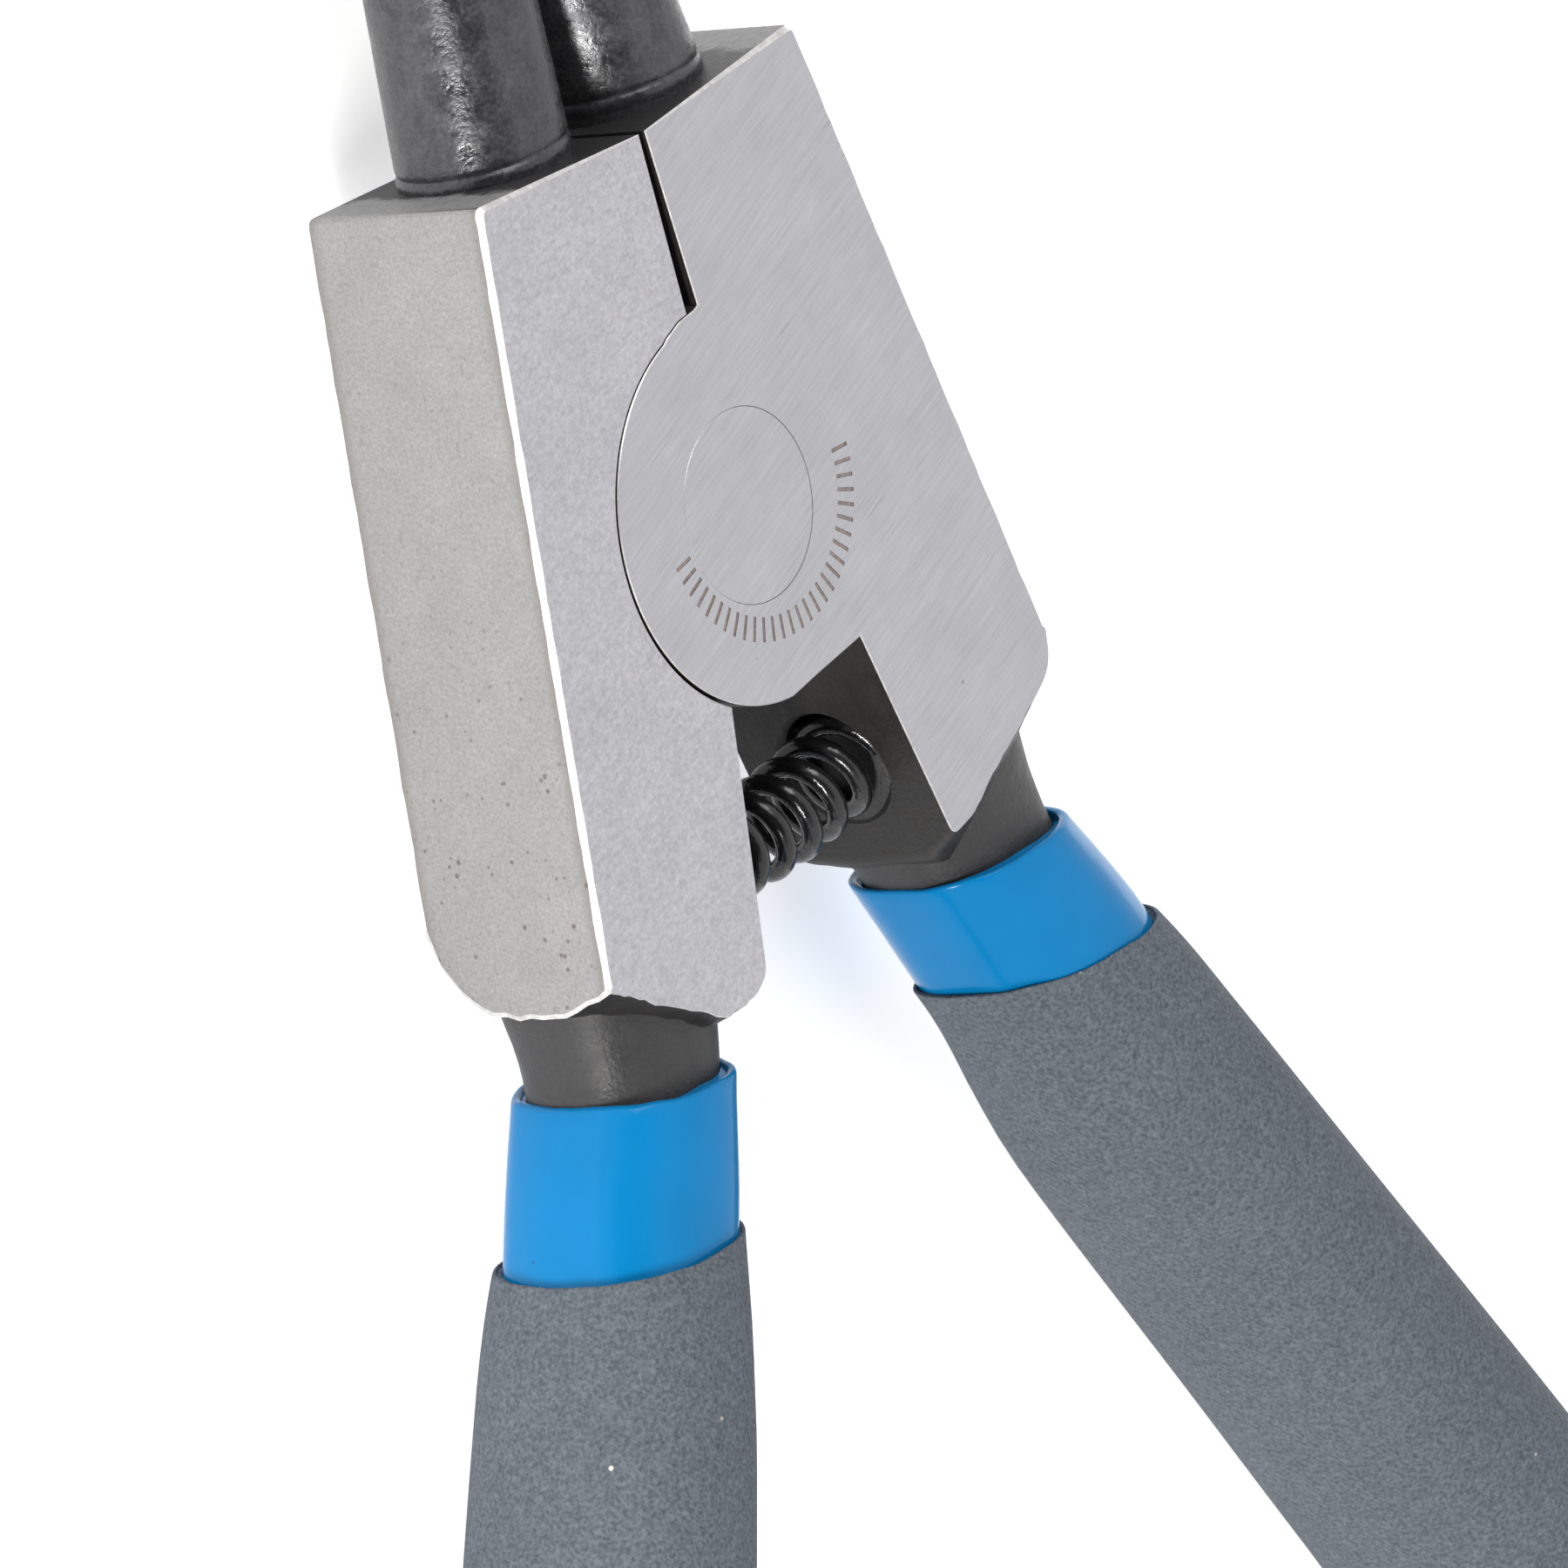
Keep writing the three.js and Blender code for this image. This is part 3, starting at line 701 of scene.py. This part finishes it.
def smooth_run(points, count):
    """Evenly spaced points on a smooth curve through the given ones."""
    p = np.asarray(points, float)
    p = np.vstack([2 * p[0] - p[1], p, 2 * p[-1] - p[-2]])
    dense = []
    for i in range(1, len(p) - 2):
        a, b, c, d = p[i - 1 : i + 3]
        bend, twist = 2 * a - 5 * b + 4 * c - d, 3 * b - a - 3 * c + d
        shares = np.linspace(0, 1, 24, endpoint=False)
        dense += [0.5 * (2 * b + (c - a) * t + bend * t**2 + twist * t**3) for t in shares]
    dense.append(p[-2])
    dense = np.array(dense)
    lengths = np.concatenate([[0], np.cumsum(np.linalg.norm(np.diff(dense, axis=0), axis=1))])
    at = np.linspace(0, lengths[-1], count)
    return np.stack([np.interp(at, lengths, dense[:, i]) for i in range(dense.shape[1])], 1)


def rounded_corner(before, corner, after, radius, count=4):
    """A few points that round a corner off."""
    before, corner, after = (np.asarray(v, float) for v in (before, corner, after))
    start = corner + (before - corner) / np.linalg.norm(before - corner) * radius
    end = corner + (after - corner) / np.linalg.norm(after - corner) * radius
    return [(1 - t) ** 2 * start + 2 * t * (1 - t) * corner + t * t * end for t in np.linspace(0, 1, count)]


def ripple(at, seed, size=1.0):
    """An irregular wave along a length in mm, within about plus or minus one."""
    waves = np.random.default_rng(seed)
    total = 0.0
    for step in range(5):
        frequency = (1.1 + 1.35 * step) * (0.85 + 0.3 * waves.random()) / size
        total = total + math.sin(at * frequency + 6.28 * waves.random()) / (1 + 0.45 * step)
    return total / 2.0


def outer_edge_x(y):
    return OUTER_EDGE[0] + OUTER_EDGE[1] * y


def inner_face_x(y):
    return INNER_FACE[0] + INNER_FACE[1] * y


# ---------------------------------------------------------------- levers


def lower_end_at(z, side):
    """The side corner's y, the four points and the inner end's y at one height."""
    heights = [row[0] for row in LOWER_END]
    values = [float(np.interp(z, heights, [row[i] for row in LOWER_END])) for i in range(1, 10)]
    return float(np.interp(z, *SIDE_END[side])), np.array(values[:8]).reshape(4, 2), values[8]


def head_outline(z, side):
    """The block's outline at one height, clockwise from the seam's top, with a name for each stretch."""
    corner_y, lower, inner_end_y = lower_end_at(z, side)
    corner_y += 0.10 * ripple(z * 1.6, CORNER_SEED[side])
    top_corner = (outer_edge_x(HEAD_TOP_Y), HEAD_TOP_Y)
    corner = (outer_edge_x(corner_y), corner_y)
    inner_end = (inner_face_x(inner_end_y), inner_end_y)
    stretches = [("top", [SEAM_TOP])]
    stretches.append(("outer", rounded_corner(SEAM_TOP, top_corner, corner, 0.4)))
    edge_y = np.linspace(HEAD_TOP_Y - 0.9, corner_y + 0.15, 44)
    stretches.append(("outer", [(outer_edge_x(y), y) for y in edge_y]))
    run = smooth_run([corner, *lower, inner_end], 34)
    for i in range(1, len(run) - 1):
        along = run[i + 1] - run[i - 1]
        across = np.array([-along[1], along[0]]) / np.linalg.norm(along)
        fade = min(1.0, i / 5, (len(run) - 1 - i) / 5)
        run[i] = run[i] + across * LOWER_RIPPLE[side] * fade * ripple(i * 0.42 + z * 0.5, LOWER_SEED[side])
    stretches.append(("lower", [(corner[0] - 0.05, corner[1] - 0.08), *run[2:-3]]))
    inner_top = (inner_face_x(-5.5), -5.5)
    stretches.append(("inner", rounded_corner(run[-4], inner_end, inner_top, 0.55, 5)))
    stretches.append(("inner", [inner_top]))
    stretches.append(("seam", [SEAM_KINK]))
    points = np.array([p for _, group in stretches for p in group], float)
    names = [name for name, group in stretches for _ in group]
    return points, names


def inset(points, amounts):
    """The outline moved inwards by an amount at each point (clockwise outline)."""
    before = np.roll(points, 1, 0)
    after = np.roll(points, -1, 0)
    d1 = points - before
    d2 = after - points
    d1 /= np.linalg.norm(d1, axis=1)[:, None]
    d2 /= np.linalg.norm(d2, axis=1)[:, None]
    n1 = np.stack([d1[:, 1], -d1[:, 0]], 1)
    n2 = np.stack([d2[:, 1], -d2[:, 0]], 1)
    middle = n1 + n2
    middle /= np.linalg.norm(middle, axis=1)[:, None]
    reach = np.clip((middle * n1).sum(1), 0.35, 1)
    return points + middle * (amounts / reach)[:, None]


def chamfer_amounts(points, names, seed):
    """A wide, wavering chamfer along the outer edge and a fine one elsewhere."""
    wide = np.array([name == "outer" for name in names])
    wave = np.array([1 + 0.16 * ripple(y * 1.3, seed) for y in points[:, 1]])
    return np.where(wide, OUTER_CHAMFER * wave, FINE_CHAMFER)


def head_block(side):
    """The block's own solid, before the lap joint is cut."""
    heights = [-4.5, -3.8, -3.1, -2.4, -1.7, -1.0, -0.3, 0.4, 1.1, 1.8, 2.4, 3.0, 3.5, 4.0, 4.5]
    rings, names = [], None
    for z in (-HALF_THICK, HALF_THICK):
        outline, names = head_outline(z, side)
        amounts = chamfer_amounts(outline, names, 21 if z < 0 else 22)
        face_ring = np.column_stack([inset(outline, amounts), np.full(len(outline), z)])
        edge_z = z - math.copysign(1, z) * np.abs(amounts)
        edge_ring = np.column_stack([outline, edge_z])
        rings.append((face_ring, edge_ring))
    middle = [np.column_stack([head_outline(z, side)[0], np.full(len(names), z)]) for z in heights]
    stack = [rings[0][0], rings[0][1], *middle, rings[1][1], rings[1][0]]
    points, faces = loft(stack)
    wall_finish = {"top": "top", "outer": "side", "lower": "inner", "inner": "inner", "seam": "inner"}
    picks = []
    for k in range(len(stack) - 1):
        at_face = k in (0, len(stack) - 2)
        for i in range(len(names)):
            name = names[i]
            if name == "outer" and names[(i + 1) % len(names)] != "outer":
                kind = "eased"
            elif at_face:
                kind = "chamfer" if name == "outer" else "eased"
            else:
                kind = wall_finish[name]
            picks.append(HEAD_FINISHES.index(kind))
    picks += [HEAD_FINISHES.index("plain"), HEAD_FINISHES.index("lapped")]
    return new_object(f"{side}_block_blank", points, faces, FINISH.values(), picks)


def tool(name, rings, kinds, placed=Matrix.Identity(4)):
    """A solid to join or cut with; kinds names the finish of each wall, then of the two caps."""
    points, faces = loft(rings)
    picks = [HEAD_FINISHES.index(kind) for kind in kinds[:-2] for _ in rings[0]]
    picks += [HEAD_FINISHES.index(kind) for kind in kinds[-2:]]
    return new_object(name, [placed @ Vector(p) for p in points], faces, FINISH.values(), picks)


def lap_outline(radius, grow, shoulders):
    """Distance from the rivet to the lap disc's edge, by angle: round, with a shoulder at each end."""
    angles = list(np.arange(-178.0, 182.0, 2.0))
    reach = {a: radius for a in angles}
    for run in shoulders:
        ends = [math.degrees(math.atan2(y, x)) for x, y in run]
        low, high = min(ends), max(ends)
        reach = {a: r for a, r in reach.items() if not low - 1 < a < high + 1}
        for angle, (x, y) in zip(ends, run):
            reach[angle] = math.hypot(x, y) + grow
    return sorted(reach.items())


def lap_tool(name, radius, heights, kinds, shoulders, grow=0.0, mirrored=False, shift=(0.0, 0.0)):
    """A solid over the lap disc's outline; heights are pairs of z and how far the wall lies in."""
    outline = lap_outline(radius, grow, shoulders)
    rings = []
    for z, inset_by in heights:
        ring = []
        for angle, reach in outline:
            turn = math.radians(180 - angle if mirrored else angle)
            r = reach - inset_by
            ring.append([r * math.cos(turn) + shift[0], r * math.sin(turn) + shift[1], z])
        rings.append(ring)
    return tool(name, rings, kinds)


def rivet_hole_profile(clearance, end_z):
    """Radius and height of the rivet's shank and its two countersunk heads."""
    head = RIVET_HEAD_R + clearance
    shank = RIVET_SHANK_R + clearance
    land_z = HALF_THICK - RIVET_LAND
    cone_z = HALF_THICK - RIVET_HEAD_DEPTH
    return [(head, -end_z), (head, -land_z), (shank, -cone_z), (shank, cone_z), (head, land_z), (head, end_z)]


def stamped_marks():
    """Cutter for an arc of plain, even tick marks round the rivet."""
    corners = [(0, 3, 2, 1), (4, 5, 6, 7), (0, 1, 5, 4), (1, 2, 6, 5), (2, 3, 7, 6), (3, 0, 4, 7)]
    points, faces = [], []
    for number in range(MARK_COUNT):
        angle = math.radians(MARK_START + number * MARK_STEP)
        out = np.array([math.cos(angle), math.sin(angle)])
        side = np.array([-out[1], out[0]]) * TICK_HALF_WIDTH
        low, high = MARK_CENTRE + out * MARK_INNER_R, MARK_CENTRE + out * MARK_OUTER_R
        base = len(points)
        for z in (HALF_THICK - MARK_DEPTH, HALF_THICK + 0.3):
            points += [[*p, z] for p in (low - side, high - side, high + side, low + side)]
        faces += [[base + i for i in quad] for quad in corners]
    picks = [HEAD_FINISHES.index("mark")] * len(faces)
    return new_object("stamp", points, faces, FINISH.values(), picks)


def carved(blank, steps):
    """Joins and cuts solids, then leaves one plain mesh."""
    for operation, cutter in steps:
        cut = blank.modifiers.new(operation, "BOOLEAN")
        cut.operation = operation
        cut.solver = "EXACT"
        cut.object = cutter
    bpy.context.view_layer.update()
    graph = bpy.context.evaluated_depsgraph_get()
    mesh = bpy.data.meshes.new_from_object(blank.evaluated_get(graph))
    for _, cutter in steps:
        bpy.data.objects.remove(cutter)
    old = blank.data
    blank.modifiers.clear()
    blank.data = mesh
    bpy.data.meshes.remove(old)
    return blank


def lever_head(side):
    """Head block with its lap disc, lap recess, rivet hole, spring pocket and tick marks."""
    disc = lap_tool(
        "disc",
        DISC_R,
        [(LAP_GAP / 2, 0.0), (HALF_THICK - FINE_CHAMFER, 0.0), (HALF_THICK, FINE_CHAMFER)],
        ["lap", "eased", "lap", "lapped"],
        [SEAM_SHOULDER, NOTCH_SHOULDER],
    )
    recess = lap_tool(
        "recess",
        RECESS_R,
        [(-HALF_THICK - 0.44, -0.5), (-HALF_THICK + 0.06, 0.0), (LAP_GAP / 2, 0.0)],
        ["eased", "lap", "lap", "lap"],
        [SEAM_SHOULDER],
        grow=0.1,
        mirrored=True,
        shift=(-RECESS_SHIFT[0], RECESS_SHIFT[1]),
    )
    hole = tool("hole", turned(rivet_hole_profile(RIVET_CLEARANCE, HALF_THICK + 1), 128), ["lap"] * 7)
    square_to_face = Matrix.Rotation(math.atan(-INNER_FACE[1]), 4, "Z") @ Matrix.Rotation(math.pi / 2, 4, "Y")
    into_lever = Matrix.Translation((*POCKET_FACE, 0)) @ square_to_face
    pocket = tool("pocket", turned(POCKET_PROFILE, 64), ["forging"] * 3 + ["lap"] * 3, into_lever)
    cuts = [("DIFFERENCE", cutter) for cutter in (hole, pocket, stamped_marks())]
    block = carved(head_block(side), [("DIFFERENCE", recess), ("UNION", disc), *cuts])
    block.name = f"{side}_head_block"
    block.data.transform(Matrix.Diagonal((-1, 1, -1, 1)) if side == "left" else Matrix.Identity(4))
    block.data.transform(Matrix.Translation(Vector(RIVET_AXIS)) @ Matrix.Scale(MM, 4))
    block.data.update()
    belongs(soften(block, 25), BODY[side], f"{side}_lever")


def jaw_section(y):
    """Centre and radius of the round jaw at a distance above its base."""
    along = max(y, 0.0)
    outer = JAW_OUTER_X[0] + (JAW_OUTER_X[1] - JAW_OUTER_X[0]) * along / JAW_LENGTH
    inner = JAW_INNER_X[0] + (JAW_INNER_X[1] - JAW_INNER_X[0]) * min(along / JAW_INNER_RUN, 1.0)
    return (outer + inner) / 2, (outer - inner) / 2


def round_jaw(side):
    """Tapered round jaw with a fine groove at its foot."""
    shoulder = [
        (-1.0, 0.0), (0.0, -0.05), (0.15, -0.03), (0.3, 0.02), (0.45, 0.04), (0.6, 0.03), (0.7, -0.02),
        (0.78, -0.08), (0.86, -0.08), (0.96, -0.03), (1.15, 0.0), (1.4, 0.0),
    ]
    body = [(float(y), 0.0) for y in np.linspace(2.0, JAW_LENGTH - 0.6, 34)]
    tip = [(JAW_LENGTH - 0.35, -0.03), (JAW_LENGTH - 0.12, -0.16), (JAW_LENGTH, -0.36)]
    sides = 72
    angles = around(sides)
    rings = []
    for y, swell in shoulder + body + tip:
        centre, radius = jaw_section(y)
        radius += swell
        x = centre + radius * np.cos(angles)
        rings.append(np.stack([x, np.full(sides, JAW_BASE_Y + y), radius * np.sin(angles)], 1))
    points, faces = loft(rings)
    jaw = new_object(f"{side}_round_jaw", in_row(points, side), faces, [JAW_BLACK])
    belongs(soften(jaw, 40), BODY[side], f"{side}_lever")


def tip_pin(side):
    """The pin pressed into the jaw's end."""
    low = JAW_BASE_Y + JAW_LENGTH - 4
    high = low + 8
    rounded_end = [(0.0, 0.35), (0.05, 0.15), (0.18, 0.03), (0.3, 0.0)]
    profile = [(TIP_R, low), *((TIP_R - lost, high - below) for lost, below in rounded_end)]
    points, faces = loft(turned(profile, 40))
    points = np.stack([points[:, 0] + TIP_X, points[:, 2], -points[:, 1]], 1)
    pin = new_object(f"{side}_tip", in_row(points, side), faces, [TIP_STEEL])
    belongs(soften(pin, 30), BODY[side], f"{side}_tip_pin")


def handle_at(distance):
    """Centre, sideways direction and downward direction at a distance down the handle."""
    straight = min(distance, HANDLE_BEND_AT)
    bent = max(distance - HANDLE_BEND_AT, 0)
    splay = HANDLE_SPLAY - HANDLE_CURVATURE * bent
    x = HANDLE_X0 + straight * math.sin(HANDLE_SPLAY)
    y = -straight * math.cos(HANDLE_SPLAY)
    x += (math.cos(splay) - math.cos(HANDLE_SPLAY)) / HANDLE_CURVATURE
    y -= (math.sin(HANDLE_SPLAY) - math.sin(splay)) / HANDLE_CURVATURE
    across = np.array([math.cos(splay), math.sin(splay), 0])
    down = np.array([math.sin(splay), -math.cos(splay), 0])
    return np.array([x, y, 0.0]), across, down


def handle_ring(distance, section, tilt=0.0, sides=64, wave=None, facets=0.0):
    """One rounded section of the handle; a tilt makes its outward side lie further down.

    section(distance) gives half width, half thickness and offset, so a sloped ring follows the taper.
    """
    centre, across, down = handle_at(distance)
    points = []
    for turn in (np.arange(sides) + 0.5) / sides * 2 * math.pi:
        c, s = math.cos(turn), math.sin(turn)
        side_reach = math.copysign(abs(c) ** (2 / HANDLE_POWER), c)
        front_reach = math.copysign(abs(s) ** (2 / HANDLE_POWER), s)
        width, _, offset = section(distance)
        slide = (offset + width * side_reach) * tilt + (wave(turn) if wave else 0.0)
        width, thick, offset = section(distance + slide)
        swell = 1 + facets * math.cos(9 * turn + 0.6 * math.sin(2 * turn))
        n = offset + width * side_reach * swell
        points.append(centre + n * across + slide * down + np.array([0, 0, thick * front_reach * swell]))
    return np.array(points)


def section_at(table, distance):
    """Half width, half thickness and offset, smoothly between the table's rows."""
    rows = np.array(table, float)
    s = rows[:, 0]
    k = int(np.clip(np.searchsorted(s, distance) - 1, 0, len(s) - 2))
    t = float(np.clip((distance - s[k]) / (s[k + 1] - s[k]), 0, 1))
    slopes = np.gradient(rows[:, 1:], s, axis=0)
    h = s[k + 1] - s[k]
    a, b = rows[k, 1:], rows[k + 1, 1:]
    m0, m1 = slopes[k] * h, slopes[k + 1] * h
    return (
        (2 * t**3 - 3 * t**2 + 1) * a
        + (t**3 - 2 * t**2 + t) * m0
        + (-2 * t**3 + 3 * t**2) * b
        + (t**3 - t**2) * m1
    )


def half_section(side, layer, grow=0.0):
    """The sections of one half's steel, sleeve or grip, a little larger if asked."""

    def section(distance):
        width, thick, offset = section_at(SECTIONS[layer], distance)
        nudge_at, nudge_width, nudge_offset = NUDGES[side][layer]
        width += grow + float(np.interp(distance, nudge_at, nudge_width))
        offset += float(np.interp(distance, nudge_at, nudge_offset))
        return width, thick + grow, offset

    return section


def handle_core(side):
    """The black forged neck, and the tang that the dips cover."""
    stations = [*np.arange(15, 34, 0.75), *np.arange(34, 122, 3.0), 122]
    rings = [handle_ring(s, half_section(side, "steel")) for s in stations]
    points, faces = loft(rings)
    core = new_object(f"{side}_neck_and_tang", in_row(points, side), faces, [FINISH["forging"]])
    belongs(soften(core, 40), BODY[side], f"{side}_lever")


def dip_wave(side, seed):
    """How far the dip's lip lies above or below its plane, round the handle."""
    return lambda angle: LIP_WAVE * ripple(angle * 3.0, seed, 1.3) + FRONT_TILT[side] * math.sin(angle)


def dip_ring(section, at, top, tilt, sides, wave, facets=0.0):
    """A ring of a dip: sloped and wavy at the lip, square to the handle 8 mm further down."""
    fade = min(1.0, max(0.0, 1 - (at - top) / 8.0))
    fade = fade * fade * (3 - 2 * fade)
    return handle_ring(at, section, tilt * fade, sides, lambda a: fade * wave(a), facets)


def outer_rings(side, layer, top, tilt, lip_radius, last, sides, wave, facets=0.0):
    """Rings of a dip's outside: over its rounded lip, then down the handle."""
    rings = []
    for turn in np.radians([180, 150, 120, 90, 60, 30]):
        section = half_section(side, layer, lip_radius * (math.cos(turn) - 1))
        at = top + lip_radius * (1 - math.sin(turn))
        rings.append(dip_ring(section, at, top, tilt, sides, wave, facets))
    stations = [top + lip_radius + d for d in (0, 0.4, 0.9, 1.6, 2.5, 3.6, 5.0, 6.5, 8.0)]
    stations += list(np.arange(stations[-1] + 2, last, 2.0)) + [last]
    section = half_section(side, layer)
    return rings + [dip_ring(section, at, top, tilt, sides, wave, facets) for at in stations]


def inner_rings(side, layer, top, tilt, last, sides, wave):
    """Rings of a dip's inside, just clear of what it covers."""
    stations = [top + 0.1, top + 1, top + 2, top + 4, top + 6, top + 8, *np.arange(top + 12, last, 6.0), last]
    section = half_section(side, layer, NEST_GAP)
    return [dip_ring(section, at, top, tilt, sides, wave) for at in stations]


def cup(outer, inner):
    """A cup from rings that run down its outside and down its inside."""
    count = len(outer[0])
    start = len(outer) * count
    faces = []
    for k in range(len(outer) - 1):
        faces += wall(k * count, (k + 1) * count, count)
    for k in range(len(inner) - 1):
        faces += wall(start + (k + 1) * count, start + k * count, count)
    faces += wall(start, 0, count)
    faces.append([start - count + i for i in range(count)])
    faces.append([start + (len(inner) - 1) * count + i for i in range(count)][::-1])
    return np.concatenate([*outer, *inner]), faces


def blue_sleeve(side):
    """The glossy inner dip, a closed cup over the tang."""
    top, tilt = DIP_TOPS[side][0], DIP_TILTS[side][0]
    wave = dip_wave(side, 31)
    outer = outer_rings(side, "sleeve", top, tilt, 0.22, SLEEVE_END, 96, wave, facets=0.006)
    inner = inner_rings(side, "steel", top, tilt, 122.1, 96, wave)
    points, faces = cup(outer, inner)
    sleeve = new_object(f"{side}_blue_sleeve", in_row(points, side), faces, [SLEEVE_BLUE])
    belongs(soften(sleeve, 60), BODY[side], f"{side}_inner_sleeve")


def grey_grip(side):
    """The matt outer dip, a closed cup over the sleeve, with a domed end."""
    top, tilt = DIP_TOPS[side][1], DIP_TILTS[side][1]
    wave = dip_wave(side, 33)
    outer = outer_rings(side, "grip", top, tilt, 0.1, GRIP_END, 96, wave)
    width, thick, _ = section_at(GRIP_SECTIONS, GRIP_END)
    for share in (0.25, 0.45, 0.62, 0.76, 0.87, 0.95, 0.99, 1.0):
        shrink = math.sqrt(1 - share * share) * 0.7 + 0.3
        end = (width * shrink, thick * shrink, 0.0)
        outer.append(handle_ring(GRIP_END + share * 4.5, lambda at, end=end: end, sides=96))
    inner = inner_rings(side, "sleeve", top, tilt, 124.6, 96, wave)
    points, faces = cup(outer, inner)
    grip = new_object(f"{side}_grey_grip", in_row(points, side), faces, [GRIP_GREY])
    belongs(soften(grip, 60), BODY[side], f"{side}_outer_grip")


def pivot_rivet():
    """Rivet ground flush on both faces."""
    flush = HALF_THICK - 0.004
    profile = rivet_hole_profile(0.0, flush - 0.03)
    profile = [(RIVET_HEAD_R - 0.03, -flush), *profile, (RIVET_HEAD_R - 0.03, flush)]
    points, faces = loft(turned(profile, 128))
    picks = [3] + [2] * 5 + [3]
    picks = [p for p in picks for _ in range(128)] + [1, 0]
    finishes = [FINISH["lapped"], FINISH["plain"], FINISH["lap"], FINISH["eased"]]
    rivet = new_object("flush_rivet", in_row(points), faces, finishes, picks)
    belongs(soften(rivet, 25), "left_half", "pivot_rivet")


def coil_spring():
    """Arched coil spring; its ends sit in the two pockets."""
    turns = 2 * SPRING_REACH / SPRING_PITCH
    steps = round(turns * 40)

    def coil_at(t):
        x = -SPRING_REACH + 2 * SPRING_REACH * t
        rise = np.array([-2 * SPRING_ARCH * x, 1, 0])
        rise /= np.linalg.norm(rise)
        a = t * turns * 2 * math.pi
        radial = rise * math.cos(a) + np.array([0, 0, math.sin(a)])
        return np.array([x, SPRING_MID_Y + SPRING_ARCH * x * x, 0]) + radial * SPRING_MEAN_R, radial

    rings = []
    angles = around(16)[:, None]
    for k in range(steps + 1):
        point, radial = coil_at(k / steps)
        tangent = coil_at(k / steps + 1e-4)[0] - coil_at(k / steps - 1e-4)[0]
        across = np.cross(tangent, radial)
        across /= np.linalg.norm(across)
        end = min(k, steps - k)
        wire = SPRING_WIRE_R * (1 if end > 2 else (0.72, 0.9, 0.98)[end])
        rings.append(point + wire * (np.cos(angles) * radial + np.sin(angles) * across))
    points, faces = loft(rings)
    spring = new_object("coil_spring", in_row(points), faces, [SPRING_BLACK])
    soften(spring, 50)
    start, end = in_row([[-11.0, -14.5, 0], [11.0, -14.5, 0]])
    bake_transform(spring)
    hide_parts("return_spring")


# ---------------------------------------------------------------- setting


def camera_at_rest():
    """A long lens, square on to the head from the front, left and a little above."""
    right = Vector((0.588, -0.2659, 0.7639)).normalized()
    up = Vector((0.3721, 0.9275, 0.0364))
    up = (up - right * up.dot(right)).normalized()
    back = right.cross(up)
    target = Vector((-1.350, 14.586, 11.464)) * MM
    distance = 1.2
    data = bpy.data.cameras.new("camera")
    data.sensor_width = 36.0
    data.lens = 0.50202 * distance * 1000
    data.clip_start = 0.01
    data.clip_end = 20.0
    camera = bpy.data.objects.new("camera", data)
    turn = Matrix((right, up, back)).transposed().to_4x4()
    camera.matrix_world = Matrix.Translation(target + back * distance) @ turn
    bpy.context.scene.collection.objects.link(camera)
    bpy.context.scene.camera = camera


def soft_box(name, toward, distance, width, height, power, colour):
    """A flat soft light aimed at the head; sizes and distance in metres, power in watts."""
    data = bpy.data.lights.new(name, "AREA")
    data.shape = "RECTANGLE"
    data.size = width
    data.size_y = height
    data.energy = power
    data.color = colour
    light = bpy.data.objects.new(name, data)
    direction = Vector(toward).normalized()
    light.location = Vector((0, 0.02, 0.008)) + direction * distance
    light.rotation_euler = (-direction).to_track_quat("-Z", "Y").to_euler()
    bpy.context.scene.collection.objects.link(light)


def pale_floor():
    """A wide pale disc under the pliers."""
    radius, sides = 6.0, 96
    points = [(radius * math.cos(a), radius * math.sin(a), 0.0) for a in around(sides)]
    mesh = bpy.data.meshes.new("pale_floor")
    mesh.from_pydata(points, [], [list(range(sides))])
    paper = Finish("pale_floor", (0.90, 0.90, 0.90), 0.9, specular=0.1)
    paper.shader.inputs["Emission Color"].default_value = (1.0, 1.0, 1.0, 1.0)
    paper.shader.inputs["Emission Strength"].default_value = 0.5
    paper.shade(paper.cloud(60.0, detail=2.0, contrast=1.0), 0.02)
    mesh.materials.append(paper.done())
    floor = bpy.data.objects.new("pale_floor", mesh)
    bpy.context.scene.collection.objects.link(floor)


def surroundings():
    """A white tent with a dim opening on one side, and two soft lights."""
    world = bpy.data.worlds.new("white_tent")
    world.use_nodes = True
    tree = world.node_tree
    background = tree.nodes["Background"]
    background.inputs["Strength"].default_value = 1.15
    direction = node_in(tree, "ShaderNodeTexCoord").outputs["Generated"]
    toward_opening = node_in(
        tree, "ShaderNodeVectorMath", direction, (-0.703, 0.0, 0.711), operation="DOT_PRODUCT"
    ).outputs["Value"]
    tent = node_in(
        tree, "ShaderNodeMix", data_type="RGBA", in_Factor=ramp_between(tree, toward_opening, 0.70, 0.93),
        in_A=(1.0, 0.995, 1.0, 1.0), in_B=(0.10, 0.10, 0.105, 1.0),
    )
    plug(tree, background.inputs["Color"], tent.outputs["Result"])
    bpy.context.scene.world = world
    bpy.context.scene.view_settings.view_transform = "Standard"
    bpy.context.scene.view_settings.look = "None"
    soft_box("left_wall_light", (-0.88, -0.26, 0.38), 0.9, 0.36, 0.07, 7.5, (1.0, 0.985, 0.96))
    soft_box("top_light", (-0.15, 0.75, 0.64), 1.0, 0.6, 0.4, 3.3, (1.0, 1.0, 1.0))


camera_at_rest()
surroundings()
pale_floor()
for side in ("right", "left"):
    lever_head(side)
    round_jaw(side)
    handle_core(side)
    tip_pin(side)
    blue_sleeve(side)
    grey_grip(side)
pivot_rivet()
coil_spring()
